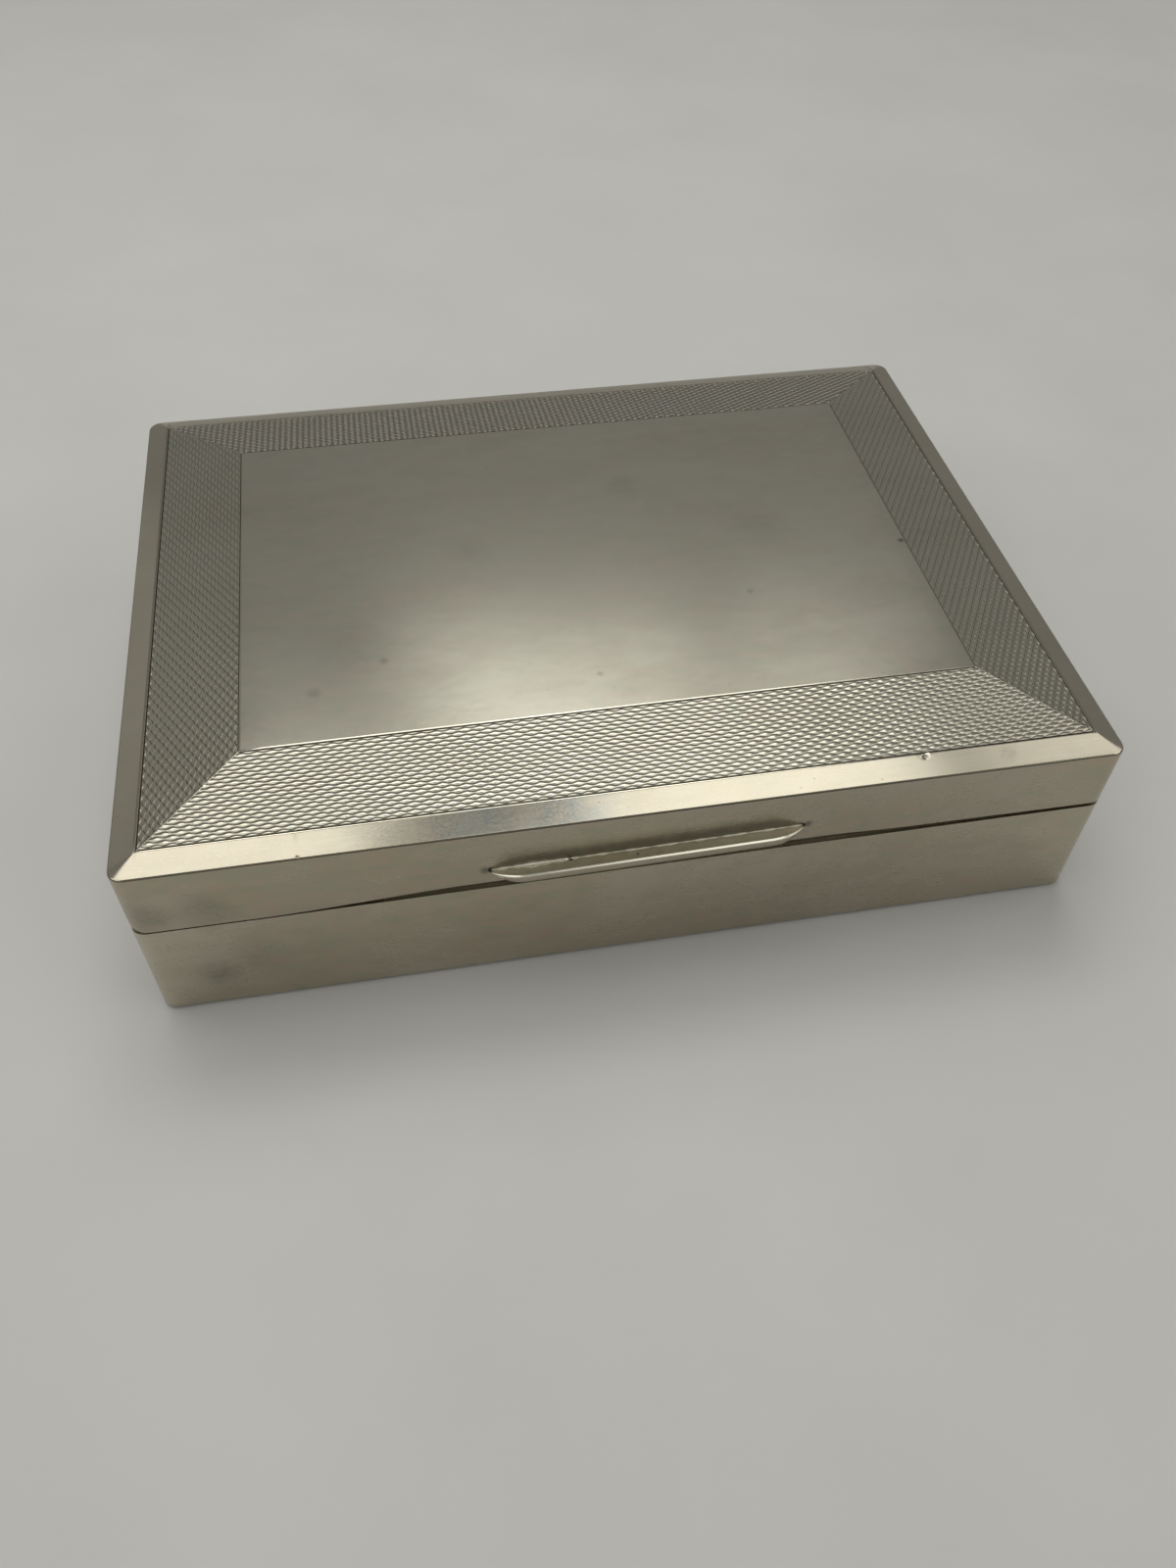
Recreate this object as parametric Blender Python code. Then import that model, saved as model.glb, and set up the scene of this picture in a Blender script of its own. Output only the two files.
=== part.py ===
"""Silver box with a hinged lid, lined with cedar, modelled as its separate pieces.

Metres, +Z up. The origin lies on the table under the middle of the closed box. +X runs to the right
along the width, and the thumbpiece faces -Y. The lid's pieces hang on an empty on the hinge's axis.
"""

import math

import bmesh
import bpy
from mathutils import Matrix, Vector

# Closed box
BOX_WIDTH = 0.165
BOX_DEPTH = 0.124
CORNER_RADIUS = 0.0025
SHEET = 0.0009
PARTING_GAP = 0.001

# Clearances: pieces that touch on the real box, and wood beside silver
SEAM_GAP = 0.0003
WOOD_CLEARANCE = 0.0005

# Base shell and what it stands on
BASE_WALL = 0.0228
FLANGE_WIDTH = 0.006
FLANGE_CORNER = 0.002
PAD_DROP = 0.0004

# Lid shell, from its lower edge up and from its outer edge in
LID_WALL = 0.0124
SHOULDER_RADIUS = 0.0008
BORDER_WIDTH = 0.00436
BORDER_RISE = 0.0013
BAND_WIDTH = 0.01594
BAND_RISE = 0.00273

# Cedar
FLOOR_THICKNESS = 0.0025
LINER_THICKNESS = 0.003
LIP_RISE = 0.0038
PARTITION_THICKNESS = 0.003
PARTITION_DROP = 0.0038
GROOVE_DEPTH = 0.001
LID_BOARD_EDGE = 0.0028

# Hinge
KNUCKLE_RADIUS = 0.0016
KNUCKLE_COUNT = 7
KNUCKLE_GAP = 0.0003
PIN_RADIUS = 0.00075
PIN_CLEARANCE = 0.0003
BEARER_CLEARANCE = 0.0003
BEARER_THICKNESS = 0.0009
CHANNEL_CLEARANCE = 0.0005

# Thumbpiece: a ledge whose seam with the wall lies below its rim
THUMB_LENGTH = 0.0532
THUMB_OFFSET = 0.0014
THUMB_DEPTH = 0.0028
THUMB_LIFT = 0.004
THUMB_DROP = 0.0028
THUMB_RIM_RISE = 0.001
THUMB_RIM_RADIUS = 0.0005
THUMB_END = 0.0042

# Smoothness of round shapes, and how far a cutter runs past what it cuts
CORNER_STEPS = 4
SHOULDER_STEPS = 4
CHANNEL_STEPS = 12
TUBE_SIDES = 24
RIM_STEPS = 6
HOLLOW_STEPS = 4
OVERRUN = 0.002
MERGE = 0.000001
SHARP_ANGLE = math.radians(30)

# Shares of the thumbpiece's tapered end, from its tip inwards, where a section stands
END_STATION_SHARES = (0.06, 0.18, 0.34, 0.54, 0.76, 1.0)

# Heights
FLANGE_TOP = PAD_DROP + SHEET
FLOOR_BOTTOM = FLANGE_TOP + SEAM_GAP
FLOOR_TOP = FLOOR_BOTTOM + FLOOR_THICKNESS
LINER_BOTTOM = FLOOR_TOP + SEAM_GAP
BASE_TOP = PAD_DROP + BASE_WALL
LID_BOTTOM = BASE_TOP + PARTING_GAP
LID_EDGE = LID_BOTTOM + LID_WALL
BORDER_TOP = LID_EDGE + BORDER_RISE
PANEL_TOP = BORDER_TOP + BAND_RISE
LIP_TOP = BASE_TOP + LIP_RISE

# Places across the box: the box is centred in depth with its thumbpiece
CENTRE_Y = THUMB_DEPTH / 2
FRONT_Y = CENTRE_Y - BOX_DEPTH / 2
BACK_Y = CENTRE_Y + BOX_DEPTH / 2
WOOD_INSET = SHEET + WOOD_CLEARANCE
PANEL_INSET = BORDER_WIDTH + BAND_WIDTH
LINER_X = BOX_WIDTH / 2 - WOOD_INSET
LINER_INNER_X = LINER_X - LINER_THICKNESS
LINER_FRONT_Y = FRONT_Y + WOOD_INSET
LINER_FRONT_INNER_Y = LINER_FRONT_Y + LINER_THICKNESS
LINER_BACK_Y = BACK_Y - WOOD_INSET

# Hinge: its axis lies one tube radius inside the back face, midway in the parting gap
HINGE_Y = BACK_Y - KNUCKLE_RADIUS
HINGE_Z = BASE_TOP + PARTING_GAP / 2
HINGE_LENGTH = BOX_WIDTH - 2 * max(CORNER_RADIUS, SHEET + SEAM_GAP)
BEARER_INNER = KNUCKLE_RADIUS + BEARER_CLEARANCE
BEARER_OUTER = BEARER_INNER + BEARER_THICKNESS
CHANNEL_RADIUS = KNUCKLE_RADIUS + CHANNEL_CLEARANCE
LIP_BACK_Y = HINGE_Y - BEARER_OUTER - WOOD_CLEARANCE
LINER_BACK_INNER_Y = LIP_BACK_Y - LINER_THICKNESS
REBATE_Z = HINGE_Z - BEARER_OUTER - WOOD_CLEARANCE

# Finishes: colour, roughness, metallic
SILVER = ((0.56, 0.54, 0.48), 0.32, 1.0)
BRASS = ((0.60, 0.48, 0.27), 0.35, 1.0)
CEDAR = ((0.42, 0.20, 0.10), 0.60, 0.0)
BAIZE = ((0.05, 0.12, 0.07), 0.95, 0.0)


def clear_scene():
    """Start from an empty scene."""
    for item in list(bpy.data.objects):
        bpy.data.objects.remove(item, do_unlink=True)


def material_for(name, finish):
    """A Principled material for one piece."""
    colour, roughness, metallic = finish
    material = bpy.data.materials.new(name + "_finish")
    material.use_nodes = True
    shader = material.node_tree.nodes["Principled BSDF"]
    shader.inputs["Base Color"].default_value = (*colour, 1.0)
    shader.inputs["Roughness"].default_value = roughness
    shader.inputs["Metallic"].default_value = metallic
    material.diffuse_color = (*colour, 1.0)
    return material


def to_mesh(name, shape):
    """Weld a bmesh, turn its faces outwards and make it a smooth mesh with sharp edges."""
    bmesh.ops.remove_doubles(shape, verts=shape.verts, dist=MERGE)
    bmesh.ops.recalc_face_normals(shape, faces=shape.faces)
    mesh = bpy.data.meshes.new(name)
    shape.to_mesh(mesh)
    shape.free()
    mesh.shade_smooth()
    mesh.set_sharp_from_angle(angle=SHARP_ANGLE)
    return mesh


def crease_above(mesh, height):
    """Keep every edge crisp that lies wholly at or above a height."""
    for edge in mesh.edges:
        lowest = min(mesh.vertices[index].co.z for index in edge.vertices)
        if lowest > height - MERGE:
            edge.use_edge_sharp = True


def add_piece(name, mesh, finish, location=(0, 0, 0), parent=None):
    """Place a mesh as a named piece. A moving piece hangs on the hinge's empty."""
    piece = bpy.data.objects.new(name, mesh)
    bpy.context.scene.collection.objects.link(piece)
    if not mesh.materials:
        mesh.materials.append(None)
    piece.material_slots[0].link = "OBJECT"
    piece.material_slots[0].material = material_for(name, finish)
    piece.location = location
    if parent:
        piece.parent = parent
        piece.location -= parent.location
    return piece


def add_cutter(name, mesh):
    """A shape that only cuts others."""
    cutter = bpy.data.objects.new(name, mesh)
    bpy.context.scene.collection.objects.link(cutter)
    cutter.hide_render = True
    cutter.display_type = "WIRE"
    return cutter


def cut(piece, cutter):
    """Take a cutter's shape out of a piece."""
    modifier = piece.modifiers.new(cutter.name, "BOOLEAN")
    modifier.operation = "DIFFERENCE"
    modifier.solver = "EXACT"
    modifier.object = cutter


def rounded_outline(corners):
    """Points round a plan outline of square corners, each given as (x, y, radius)."""
    points = []
    for index, (x, y, radius) in enumerate(corners):
        corner = Vector((x, y))
        before = Vector(corners[index - 1][:2]) - corner
        after = Vector(corners[(index + 1) % len(corners)][:2]) - corner
        before.normalize()
        after.normalize()
        centre = corner + (before + after) * radius
        for step in range(CORNER_STEPS + 1):
            angle = math.pi / 2 * step / CORNER_STEPS
            points.append(centre - radius * (after * math.cos(angle) + before * math.sin(angle)))
    return points


def box_ring(inset, height, radius=None):
    """Ring of points round the box in plan, moved in from its outer face, at one height."""
    if radius is None:
        radius = max(CORNER_RADIUS - inset, 0)
    half_width = BOX_WIDTH / 2 - inset
    half_depth = BOX_DEPTH / 2 - inset
    corners = [
        (-half_width, CENTRE_Y - half_depth, radius),
        (half_width, CENTRE_Y - half_depth, radius),
        (half_width, CENTRE_Y + half_depth, radius),
        (-half_width, CENTRE_Y + half_depth, radius),
    ]
    return [Vector((x, y, height)) for x, y in rounded_outline(corners)]


def skin(name, rings, closed=False):
    """Mesh through rings of like points, joined end to start if closed, else capped at both ends."""
    shape = bmesh.new()
    loops = [[shape.verts.new(point) for point in ring] for ring in rings]
    pairs = list(zip(loops, loops[1:]))
    if closed:
        pairs.append((loops[-1], loops[0]))
    else:
        shape.faces.new(loops[0])
        shape.faces.new(loops[-1])
    for near, far in pairs:
        for index in range(len(near)):
            follow = (index + 1) % len(near)
            shape.faces.new((near[index], near[follow], far[follow], far[index]))
    return to_mesh(name, shape)


def extruded(name, outline, travel):
    """Solid swept straight from a flat outline of points."""
    shape = bmesh.new()
    face = shape.faces.new([shape.verts.new(point) for point in outline])
    swept = bmesh.ops.extrude_face_region(shape, geom=[face])
    moved = [item for item in swept["geom"] if isinstance(item, bmesh.types.BMVert)]
    bmesh.ops.translate(shape, verts=moved, vec=travel)
    return to_mesh(name, shape)


def plan_prism(name, corners, bottom, top):
    """Upright solid on a plan outline of rounded corners."""
    outline = [Vector((x, y, bottom)) for x, y in rounded_outline(corners)]
    return extruded(name, outline, Vector((0, 0, top - bottom)))


def arc(radius, start, end, steps):
    """Points (y, z) round the hinge's axis, with angles in radians from the back (+Y) up to +Z."""
    points = []
    for step in range(steps + 1):
        angle = start + (end - start) * step / steps
        points.append((HINGE_Y + radius * math.cos(angle), HINGE_Z + radius * math.sin(angle)))
    return points


def along_width(name, profile, length):
    """Solid with a (y, z) profile, swept along the width and centred on it."""
    outline = [Vector((-length / 2, y, z)) for y, z in profile]
    return extruded(name, outline, Vector((length, 0, 0)))


def channel_cutter():
    """Room for the hinge's tubes: round in front of the axis, open through the back."""
    profile = arc(CHANNEL_RADIUS, math.pi / 2, math.pi * 3 / 2, CHANNEL_STEPS)
    profile.append((BACK_Y + OVERRUN, HINGE_Z - CHANNEL_RADIUS))
    profile.append((BACK_Y + OVERRUN, HINGE_Z + CHANNEL_RADIUS))
    mesh = along_width("hinge_channel_cutter", profile, BOX_WIDTH + OVERRUN * 2)
    return add_cutter("hinge_channel_cutter", mesh)


def rebate_cutter():
    """Room behind the back liner's upper part for the hinge's bearers."""
    profile = [
        (LIP_BACK_Y, REBATE_Z),
        (BACK_Y + OVERRUN, REBATE_Z),
        (BACK_Y + OVERRUN, LIP_TOP + OVERRUN),
        (LIP_BACK_Y, LIP_TOP + OVERRUN),
    ]
    mesh = along_width("hinge_rebate_cutter", profile, BOX_WIDTH)
    return add_cutter("hinge_rebate_cutter", mesh)


def build_base_shell(channel):
    """Silver walls with a flange turned in at the bottom."""
    rings = [
        box_ring(0, PAD_DROP),
        box_ring(0, BASE_TOP),
        box_ring(SHEET, BASE_TOP),
        box_ring(SHEET, FLANGE_TOP),
        box_ring(FLANGE_WIDTH, FLANGE_TOP, FLANGE_CORNER),
        box_ring(FLANGE_WIDTH, PAD_DROP, FLANGE_CORNER),
    ]
    shell = add_piece("base_shell", skin("base_shell", rings, closed=True), SILVER)
    cut(shell, channel)


def build_floor():
    """Cedar floor on the flange, and the baize pad in the flange's opening."""
    rings = [box_ring(WOOD_INSET, FLOOR_BOTTOM), box_ring(WOOD_INSET, FLOOR_TOP)]
    add_piece("base_board", skin("base_board", rings), CEDAR)
    pad_inset = FLANGE_WIDTH + SEAM_GAP
    pad_corner = max(FLANGE_CORNER - SEAM_GAP, 0)
    pad_top = FLOOR_BOTTOM - SEAM_GAP
    rings = [box_ring(pad_inset, 0, pad_corner), box_ring(pad_inset, pad_top, pad_corner)]
    add_piece("baize_pad", skin("baize_pad", rings), BAIZE)


def build_liners():
    """Cedar liners: front and back run the full width, left and right stand between them."""
    corner = max(CORNER_RADIUS - WOOD_INSET, 0)
    groove_x = PARTITION_THICKNESS / 2 + SEAM_GAP
    front = [
        (-LINER_X, LINER_FRONT_Y, corner),
        (LINER_X, LINER_FRONT_Y, corner),
        (LINER_X, LINER_FRONT_INNER_Y, 0),
        (groove_x, LINER_FRONT_INNER_Y, 0),
        (groove_x, LINER_FRONT_INNER_Y - GROOVE_DEPTH, 0),
        (-groove_x, LINER_FRONT_INNER_Y - GROOVE_DEPTH, 0),
        (-groove_x, LINER_FRONT_INNER_Y, 0),
        (-LINER_X, LINER_FRONT_INNER_Y, 0),
    ]
    add_piece("liner_front", plan_prism("liner_front", front, LINER_BOTTOM, LIP_TOP), CEDAR)

    back = [
        (LINER_X, LINER_BACK_Y, corner),
        (-LINER_X, LINER_BACK_Y, corner),
        (-LINER_X, LINER_BACK_INNER_Y, 0),
        (-groove_x, LINER_BACK_INNER_Y, 0),
        (-groove_x, LINER_BACK_INNER_Y + GROOVE_DEPTH, 0),
        (groove_x, LINER_BACK_INNER_Y + GROOVE_DEPTH, 0),
        (groove_x, LINER_BACK_INNER_Y, 0),
        (LINER_X, LINER_BACK_INNER_Y, 0),
    ]
    liner = add_piece("liner_back", plan_prism("liner_back", back, LINER_BOTTOM, LIP_TOP), CEDAR)
    cut(liner, rebate_cutter())

    side_front_y = LINER_FRONT_INNER_Y + SEAM_GAP
    side_back_y = LINER_BACK_INNER_Y - SEAM_GAP
    for name, outer_x, inner_x in (
        ("liner_left", -LINER_X, -LINER_INNER_X),
        ("liner_right", LINER_INNER_X, LINER_X),
    ):
        side = [
            (outer_x, side_front_y, 0),
            (inner_x, side_front_y, 0),
            (inner_x, side_back_y, 0),
            (outer_x, side_back_y, 0),
        ]
        add_piece(name, plan_prism(name, side, LINER_BOTTOM, LIP_TOP), CEDAR)


def build_partition():
    """Cedar slat that parts the box in two, its ends in the liners' grooves."""
    half = PARTITION_THICKNESS / 2
    front_y = LINER_FRONT_INNER_Y - GROOVE_DEPTH + SEAM_GAP
    back_y = LINER_BACK_INNER_Y + GROOVE_DEPTH - SEAM_GAP
    slat = [(-half, front_y, 0), (half, front_y, 0), (half, back_y, 0), (-half, back_y, 0)]
    mesh = plan_prism("partition", slat, LINER_BOTTOM, LIP_TOP - PARTITION_DROP)
    add_piece("partition", mesh, CEDAR)


def dome_height(inset):
    """Height of the lid's outer top surface at a distance in from the lid's outer face."""
    if inset < BORDER_WIDTH:
        return LID_EDGE + BORDER_RISE * inset / BORDER_WIDTH
    return BORDER_TOP + BAND_RISE * (inset - BORDER_WIDTH) / BAND_WIDTH


def build_lid_shell(channel, pivot):
    """Silver lid: walls, rounded shoulder, plain border, four sloping bands and a flat panel."""
    slope = math.atan2(BORDER_RISE, BORDER_WIDTH)
    turn = math.pi / 2 - slope
    shoulder_z = LID_EDGE - SHOULDER_RADIUS * math.tan(turn / 2)
    rings = [
        box_ring(PANEL_INSET, PANEL_TOP - SHEET),
        box_ring(BORDER_WIDTH, BORDER_TOP - SHEET),
        box_ring(SHEET, dome_height(SHEET) - SHEET),
        box_ring(SHEET, LID_BOTTOM),
        box_ring(0, LID_BOTTOM),
    ]
    for step in range(SHOULDER_STEPS + 1):
        angle = turn * step / SHOULDER_STEPS
        inset = SHOULDER_RADIUS * (1 - math.cos(angle))
        rings.append(box_ring(inset, shoulder_z + SHOULDER_RADIUS * math.sin(angle)))
    rings.append(box_ring(BORDER_WIDTH, BORDER_TOP))
    rings.append(box_ring(PANEL_INSET, PANEL_TOP))
    mesh = skin("lid_shell", rings)
    crease_above(mesh, BORDER_TOP - SHEET)
    shell = add_piece("lid_shell", mesh, SILVER, parent=pivot)
    cut(shell, channel)


def build_lid_board(pivot):
    """Cedar board inside the lid: flat below, hipped above to follow the silver."""
    backing = SHEET + SEAM_GAP
    edge_top = dome_height(WOOD_INSET) - backing
    rings = [
        box_ring(WOOD_INSET, edge_top - LID_BOARD_EDGE),
        box_ring(WOOD_INSET, edge_top),
        box_ring(BORDER_WIDTH, BORDER_TOP - backing),
        box_ring(PANEL_INSET, PANEL_TOP - backing),
    ]
    add_piece("lid_board", skin("lid_board", rings), CEDAR, parent=pivot)


def build_bearers(pivot):
    """Quarter-round strips that carry the hinge's tubes, one in the base and one in the lid."""
    split = math.asin(PARTING_GAP / 2 / BEARER_INNER)
    foot_y = BACK_Y - SHEET - SEAM_GAP
    upper = arc(BEARER_INNER, math.pi / 2, math.pi - split, CHANNEL_STEPS)
    upper += arc(BEARER_OUTER, math.pi - split, math.pi / 2, CHANNEL_STEPS)
    upper.append((foot_y, HINGE_Z + BEARER_OUTER))
    upper.append((foot_y, HINGE_Z + BEARER_INNER))
    lower = [(y, HINGE_Z * 2 - z) for y, z in upper]
    add_piece("hinge_bearer_base", along_width("hinge_bearer_base", lower, HINGE_LENGTH), SILVER)
    mesh = along_width("hinge_bearer_lid", upper, HINGE_LENGTH)
    add_piece("hinge_bearer_lid", mesh, SILVER, parent=pivot)


def tube_mesh(name, length, inner, outer):
    """Tube along X, centred on its own origin."""
    shape = bmesh.new()
    half = length / 2
    profile = [(-half, inner), (half, inner), (half, outer), (-half, outer)]
    points = [shape.verts.new((x, y, 0)) for x, y in profile]
    edges = [shape.edges.new((points[index - 1], points[index])) for index in range(len(points))]
    bmesh.ops.spin(
        shape, geom=points + edges, axis=(1, 0, 0), cent=(0, 0, 0), angle=math.tau,
        steps=TUBE_SIDES, use_merge=True,
    )
    return to_mesh(name, shape)


def rod_mesh(name, length, radius):
    """Round rod along X, centred on its own origin."""
    shape = bmesh.new()
    bmesh.ops.create_cone(
        shape, cap_ends=True, segments=TUBE_SIDES, radius1=radius, radius2=radius, depth=length,
        matrix=Matrix.Rotation(math.pi / 2, 4, "Y"),
    )
    return to_mesh(name, shape)


def build_hinge(pivot):
    """Hinge tubes, by turns on the base and on the lid, and the pin through them."""
    pitch = (HINGE_LENGTH + KNUCKLE_GAP) / KNUCKLE_COUNT
    bore = PIN_RADIUS + PIN_CLEARANCE
    tube = tube_mesh("knuckle", pitch - KNUCKLE_GAP, bore, KNUCKLE_RADIUS)
    for index in range(KNUCKLE_COUNT):
        place = ((index - (KNUCKLE_COUNT - 1) / 2) * pitch, HINGE_Y, HINGE_Z)
        number = index // 2 + 1
        if index % 2:
            add_piece(f"knuckle_lid_{number}", tube, SILVER, place, pivot)
        else:
            add_piece(f"knuckle_base_{number}", tube, SILVER, place)
    pin = rod_mesh("hinge_pin", HINGE_LENGTH, PIN_RADIUS)
    add_piece("hinge_pin", pin, BRASS, (0, HINGE_Y, HINGE_Z))


def thumb_section(size):
    """Points (out, up) of the thumbpiece's section, from the wall's face and its seam there.

    The top is hollow and climbs from the seam to a round rim, and the underside slopes back to the
    wall. A size under 1 draws the section in towards the seam.
    """
    run = THUMB_DEPTH - SEAM_GAP - THUMB_RIM_RADIUS
    rim_up = THUMB_RIM_RISE - THUMB_RIM_RADIUS
    points = []
    for step in range(HOLLOW_STEPS):
        share = step / HOLLOW_STEPS
        points.append((run * share, THUMB_RIM_RISE * (1 - math.cos(math.pi / 2 * share))))
    for step in range(RIM_STEPS + 1):
        angle = math.pi / 2 - math.pi * 3 / 4 * step / RIM_STEPS
        out = run + THUMB_RIM_RADIUS * math.cos(angle)
        points.append((out, rim_up + THUMB_RIM_RADIUS * math.sin(angle)))
    points.append((0, -THUMB_DROP))
    return [(SEAM_GAP + out * size, up * size) for out, up in points]


def build_thumbpiece(pivot):
    """Boat-shaped ledge on the lid's front wall, soldered a little right of the middle."""
    seam_z = LID_BOTTOM + THUMB_LIFT
    stations = []
    for share in END_STATION_SHARES:
        stations.append((-THUMB_LENGTH / 2 + THUMB_END * share, math.sin(math.pi / 2 * share)))
    stations += [(-x, size) for x, size in reversed(stations)]
    rings = []
    for x, size in stations:
        section = thumb_section(size)
        rings.append([Vector((THUMB_OFFSET + x, FRONT_Y - out, seam_z + up)) for out, up in section])
    add_piece("thumbpiece", skin("thumbpiece", rings), SILVER, parent=pivot)


def build_box():
    """Every piece of the box, with the lid's pieces under the empty on the hinge's axis."""
    clear_scene()
    pivot = bpy.data.objects.new("lid_pivot", None)
    bpy.context.scene.collection.objects.link(pivot)
    pivot.location = (0, HINGE_Y, HINGE_Z)
    channel = channel_cutter()
    build_base_shell(channel)
    build_floor()
    build_liners()
    build_partition()
    build_lid_shell(channel, pivot)
    build_lid_board(pivot)
    build_bearers(pivot)
    build_hinge(pivot)
    build_thumbpiece(pivot)


build_box()
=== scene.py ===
# %% [markdown]
# A silver box with a hinged lid, lined with cedar. The real box is thin sheet silver wrapped over cedar
# boards: a base and a lid of the same plan, a hinge made of seven short tubes on one pin, and a boat-shaped
# ledge for the thumb. This lesson takes the plain construction model as a fixed frame and makes the surface
# that the eye sees: soft worn edges, engine-turned bands, satin silver, cedar and baize.

# %% Load the frame
import math

import bmesh
import bpy
import numpy as np
from mathutils import Matrix, Vector


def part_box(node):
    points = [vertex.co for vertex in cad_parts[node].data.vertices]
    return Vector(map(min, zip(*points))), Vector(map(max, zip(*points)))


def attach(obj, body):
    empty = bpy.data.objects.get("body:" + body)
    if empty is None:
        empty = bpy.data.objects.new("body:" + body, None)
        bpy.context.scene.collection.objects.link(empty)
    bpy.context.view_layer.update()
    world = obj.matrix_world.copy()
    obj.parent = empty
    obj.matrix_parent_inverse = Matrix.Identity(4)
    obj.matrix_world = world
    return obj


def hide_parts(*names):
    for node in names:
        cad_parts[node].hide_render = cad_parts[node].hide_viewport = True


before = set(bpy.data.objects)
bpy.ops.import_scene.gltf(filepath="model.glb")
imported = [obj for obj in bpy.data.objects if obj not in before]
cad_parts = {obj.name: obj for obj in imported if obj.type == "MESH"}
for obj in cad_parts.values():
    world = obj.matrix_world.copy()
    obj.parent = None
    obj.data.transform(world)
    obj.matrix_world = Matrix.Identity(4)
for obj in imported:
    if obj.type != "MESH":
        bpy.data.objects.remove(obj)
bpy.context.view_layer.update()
print("pieces in the frame:", len(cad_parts))

# %% [markdown]
# The frame gives each piece's place, so the big sizes are read from it. What it can't give, such as the
# widths of the border and of the engine-turned bands, is written here once, in real millimetres.

# %% Sizes of the case
MM = 0.001
SHEET = 0.9 * MM
CORNER_RADIUS = 2.5 * MM
BORDER_WIDTH = 4.46 * MM
BORDER_RISE = 1.3 * MM
BAND_WIDTH = 15.76 * MM
BAND_RISE = 2.73 * MM
TOUCH = 0.01 * MM

lid_low, lid_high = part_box("lid_shell")
base_low, base_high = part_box("base_shell")
border_top = lid_high.z - BAND_RISE
lid_edge = border_top - BORDER_RISE
middle_y = (lid_low.y + lid_high.y) / 2
half_width = lid_high.x
half_depth = (lid_high.y - lid_low.y) / 2
print(f"case {2 * half_width / MM:.1f} by {2 * half_depth / MM:.1f} mm, walls up to {lid_edge / MM:.1f}")

# %% [markdown]
# The camera stands where the photographer held it: close, a little left of the middle, looking down at
# about 49 degrees. A short lens from so near gives the strong perspective of the picture.

# %% Camera
CAMERA_PLACE = Vector((-33.15, -180.18, 185.64)) * MM
CAMERA_AIM = Vector((0.1284, 0.6444, -0.7538))
CAMERA_UP = Vector((0.1217, 0.7441, 0.6568))
LENS_MM = 28.14

bpy.ops.object.select_all(action="DESELECT")
bpy.ops.object.camera_add()
camera = bpy.context.object
camera.name = "camera"
camera.data.lens = LENS_MM
camera.data.clip_start = 10 * MM
camera_right = CAMERA_AIM.cross(CAMERA_UP).normalized()
camera_up = camera_right.cross(CAMERA_AIM).normalized()
turn = Matrix((camera_right, camera_up, -CAMERA_AIM.normalized())).transposed()
camera.matrix_world = Matrix.Translation(CAMERA_PLACE) @ turn.to_4x4()
bpy.context.scene.camera = camera
print("camera", round((CAMERA_PLACE - Vector((0, middle_y, lid_edge))).length, 3), "m from the lid")

# %% [markdown]
# Satin silver shows its surroundings more than its own colour, so the lamps are chosen by what each face
# mirrors towards the camera. The flat panel mirrors three soft lamps behind the box, whose lower edges fade
# across it. The engine turning mirrors a wide lamp above those. The plain front border mirrors what hangs
# overhead: two lamps with a dark gap between them. A small lamp high on the right is there for the polished
# rim of the thumb ledge. Wide lamps at both sides and in front light the rest of the box. One more lamp,
# behind the box and flagged off from the silver, lights the table and lays the soft shadow in front.

# %% Lamps and world
LAMP_DISTANCE = 2.5
TABLE_LAMP_DISTANCE = 0.7
WORLD_LEVEL = 0.19
# name: azimuth from the back towards the right, elevation, width and height in degrees, brightness
LAMPS = {
    "lamp_back": (8.5, 54, 14, 21, 0.86),
    "lamp_back_left": (-13, 55.5, 9, 18, 0.42),
    "lamp_back_right": (27, 52.5, 9, 23, 0.46),
    "lamp_high": (3, 64.8, 36, 14.4, 2.3),
    "lamp_overhead": (0, 88, 12, 12, 0.1),
    "lamp_over_left": (-74, 70.5, 15, 30, 1.08),
    "lamp_over_right": (76, 74.2, 13.5, 16.4, 1.15),
    "lamp_over_rim": (90, 84.5, 4.5, 4.5, 1.2),
    "lamp_far_right": (79, 48, 14, 30, 0.72),
    "lamp_over_front": (180, 82, 36, 7, 1.35),
    "lamp_front": (180, 36, 60, 14, 0.6),
    "lamp_low_left": (-40, 25, 16, 12, 0.07),
    "lamp_left": (-114, 36, 44, 36, 0.9),
    "lamp_right": (118, 36, 40, 36, 0.9),
}
TABLE_LAMP = (-30, 68, 56, 38, 1.75)
WHITE = (1, 1, 1, 1)


def add_lamp(name, azimuth, elevation, wide, high, brightness, distance=LAMP_DISTANCE):
    """A soft rectangular lamp that faces the lid, sized by the angle it fills."""
    azimuth, elevation = math.radians(azimuth), math.radians(elevation)
    flat = math.cos(elevation)
    towards = Vector((math.sin(azimuth) * flat, math.cos(azimuth) * flat, math.sin(elevation)))
    bpy.ops.object.light_add(type="AREA", location=towards * distance)
    lamp = bpy.context.object
    lamp.name = name
    lamp.rotation_euler = towards.to_track_quat("Z", "Y").to_euler()
    lamp.data.shape = "RECTANGLE"
    lamp.data.size = 2 * distance * math.tan(math.radians(wide / 2))
    lamp.data.size_y = 2 * distance * math.tan(math.radians(high / 2))
    lamp.data.energy = math.pi * lamp.data.size * lamp.data.size_y * brightness
    return lamp


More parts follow.
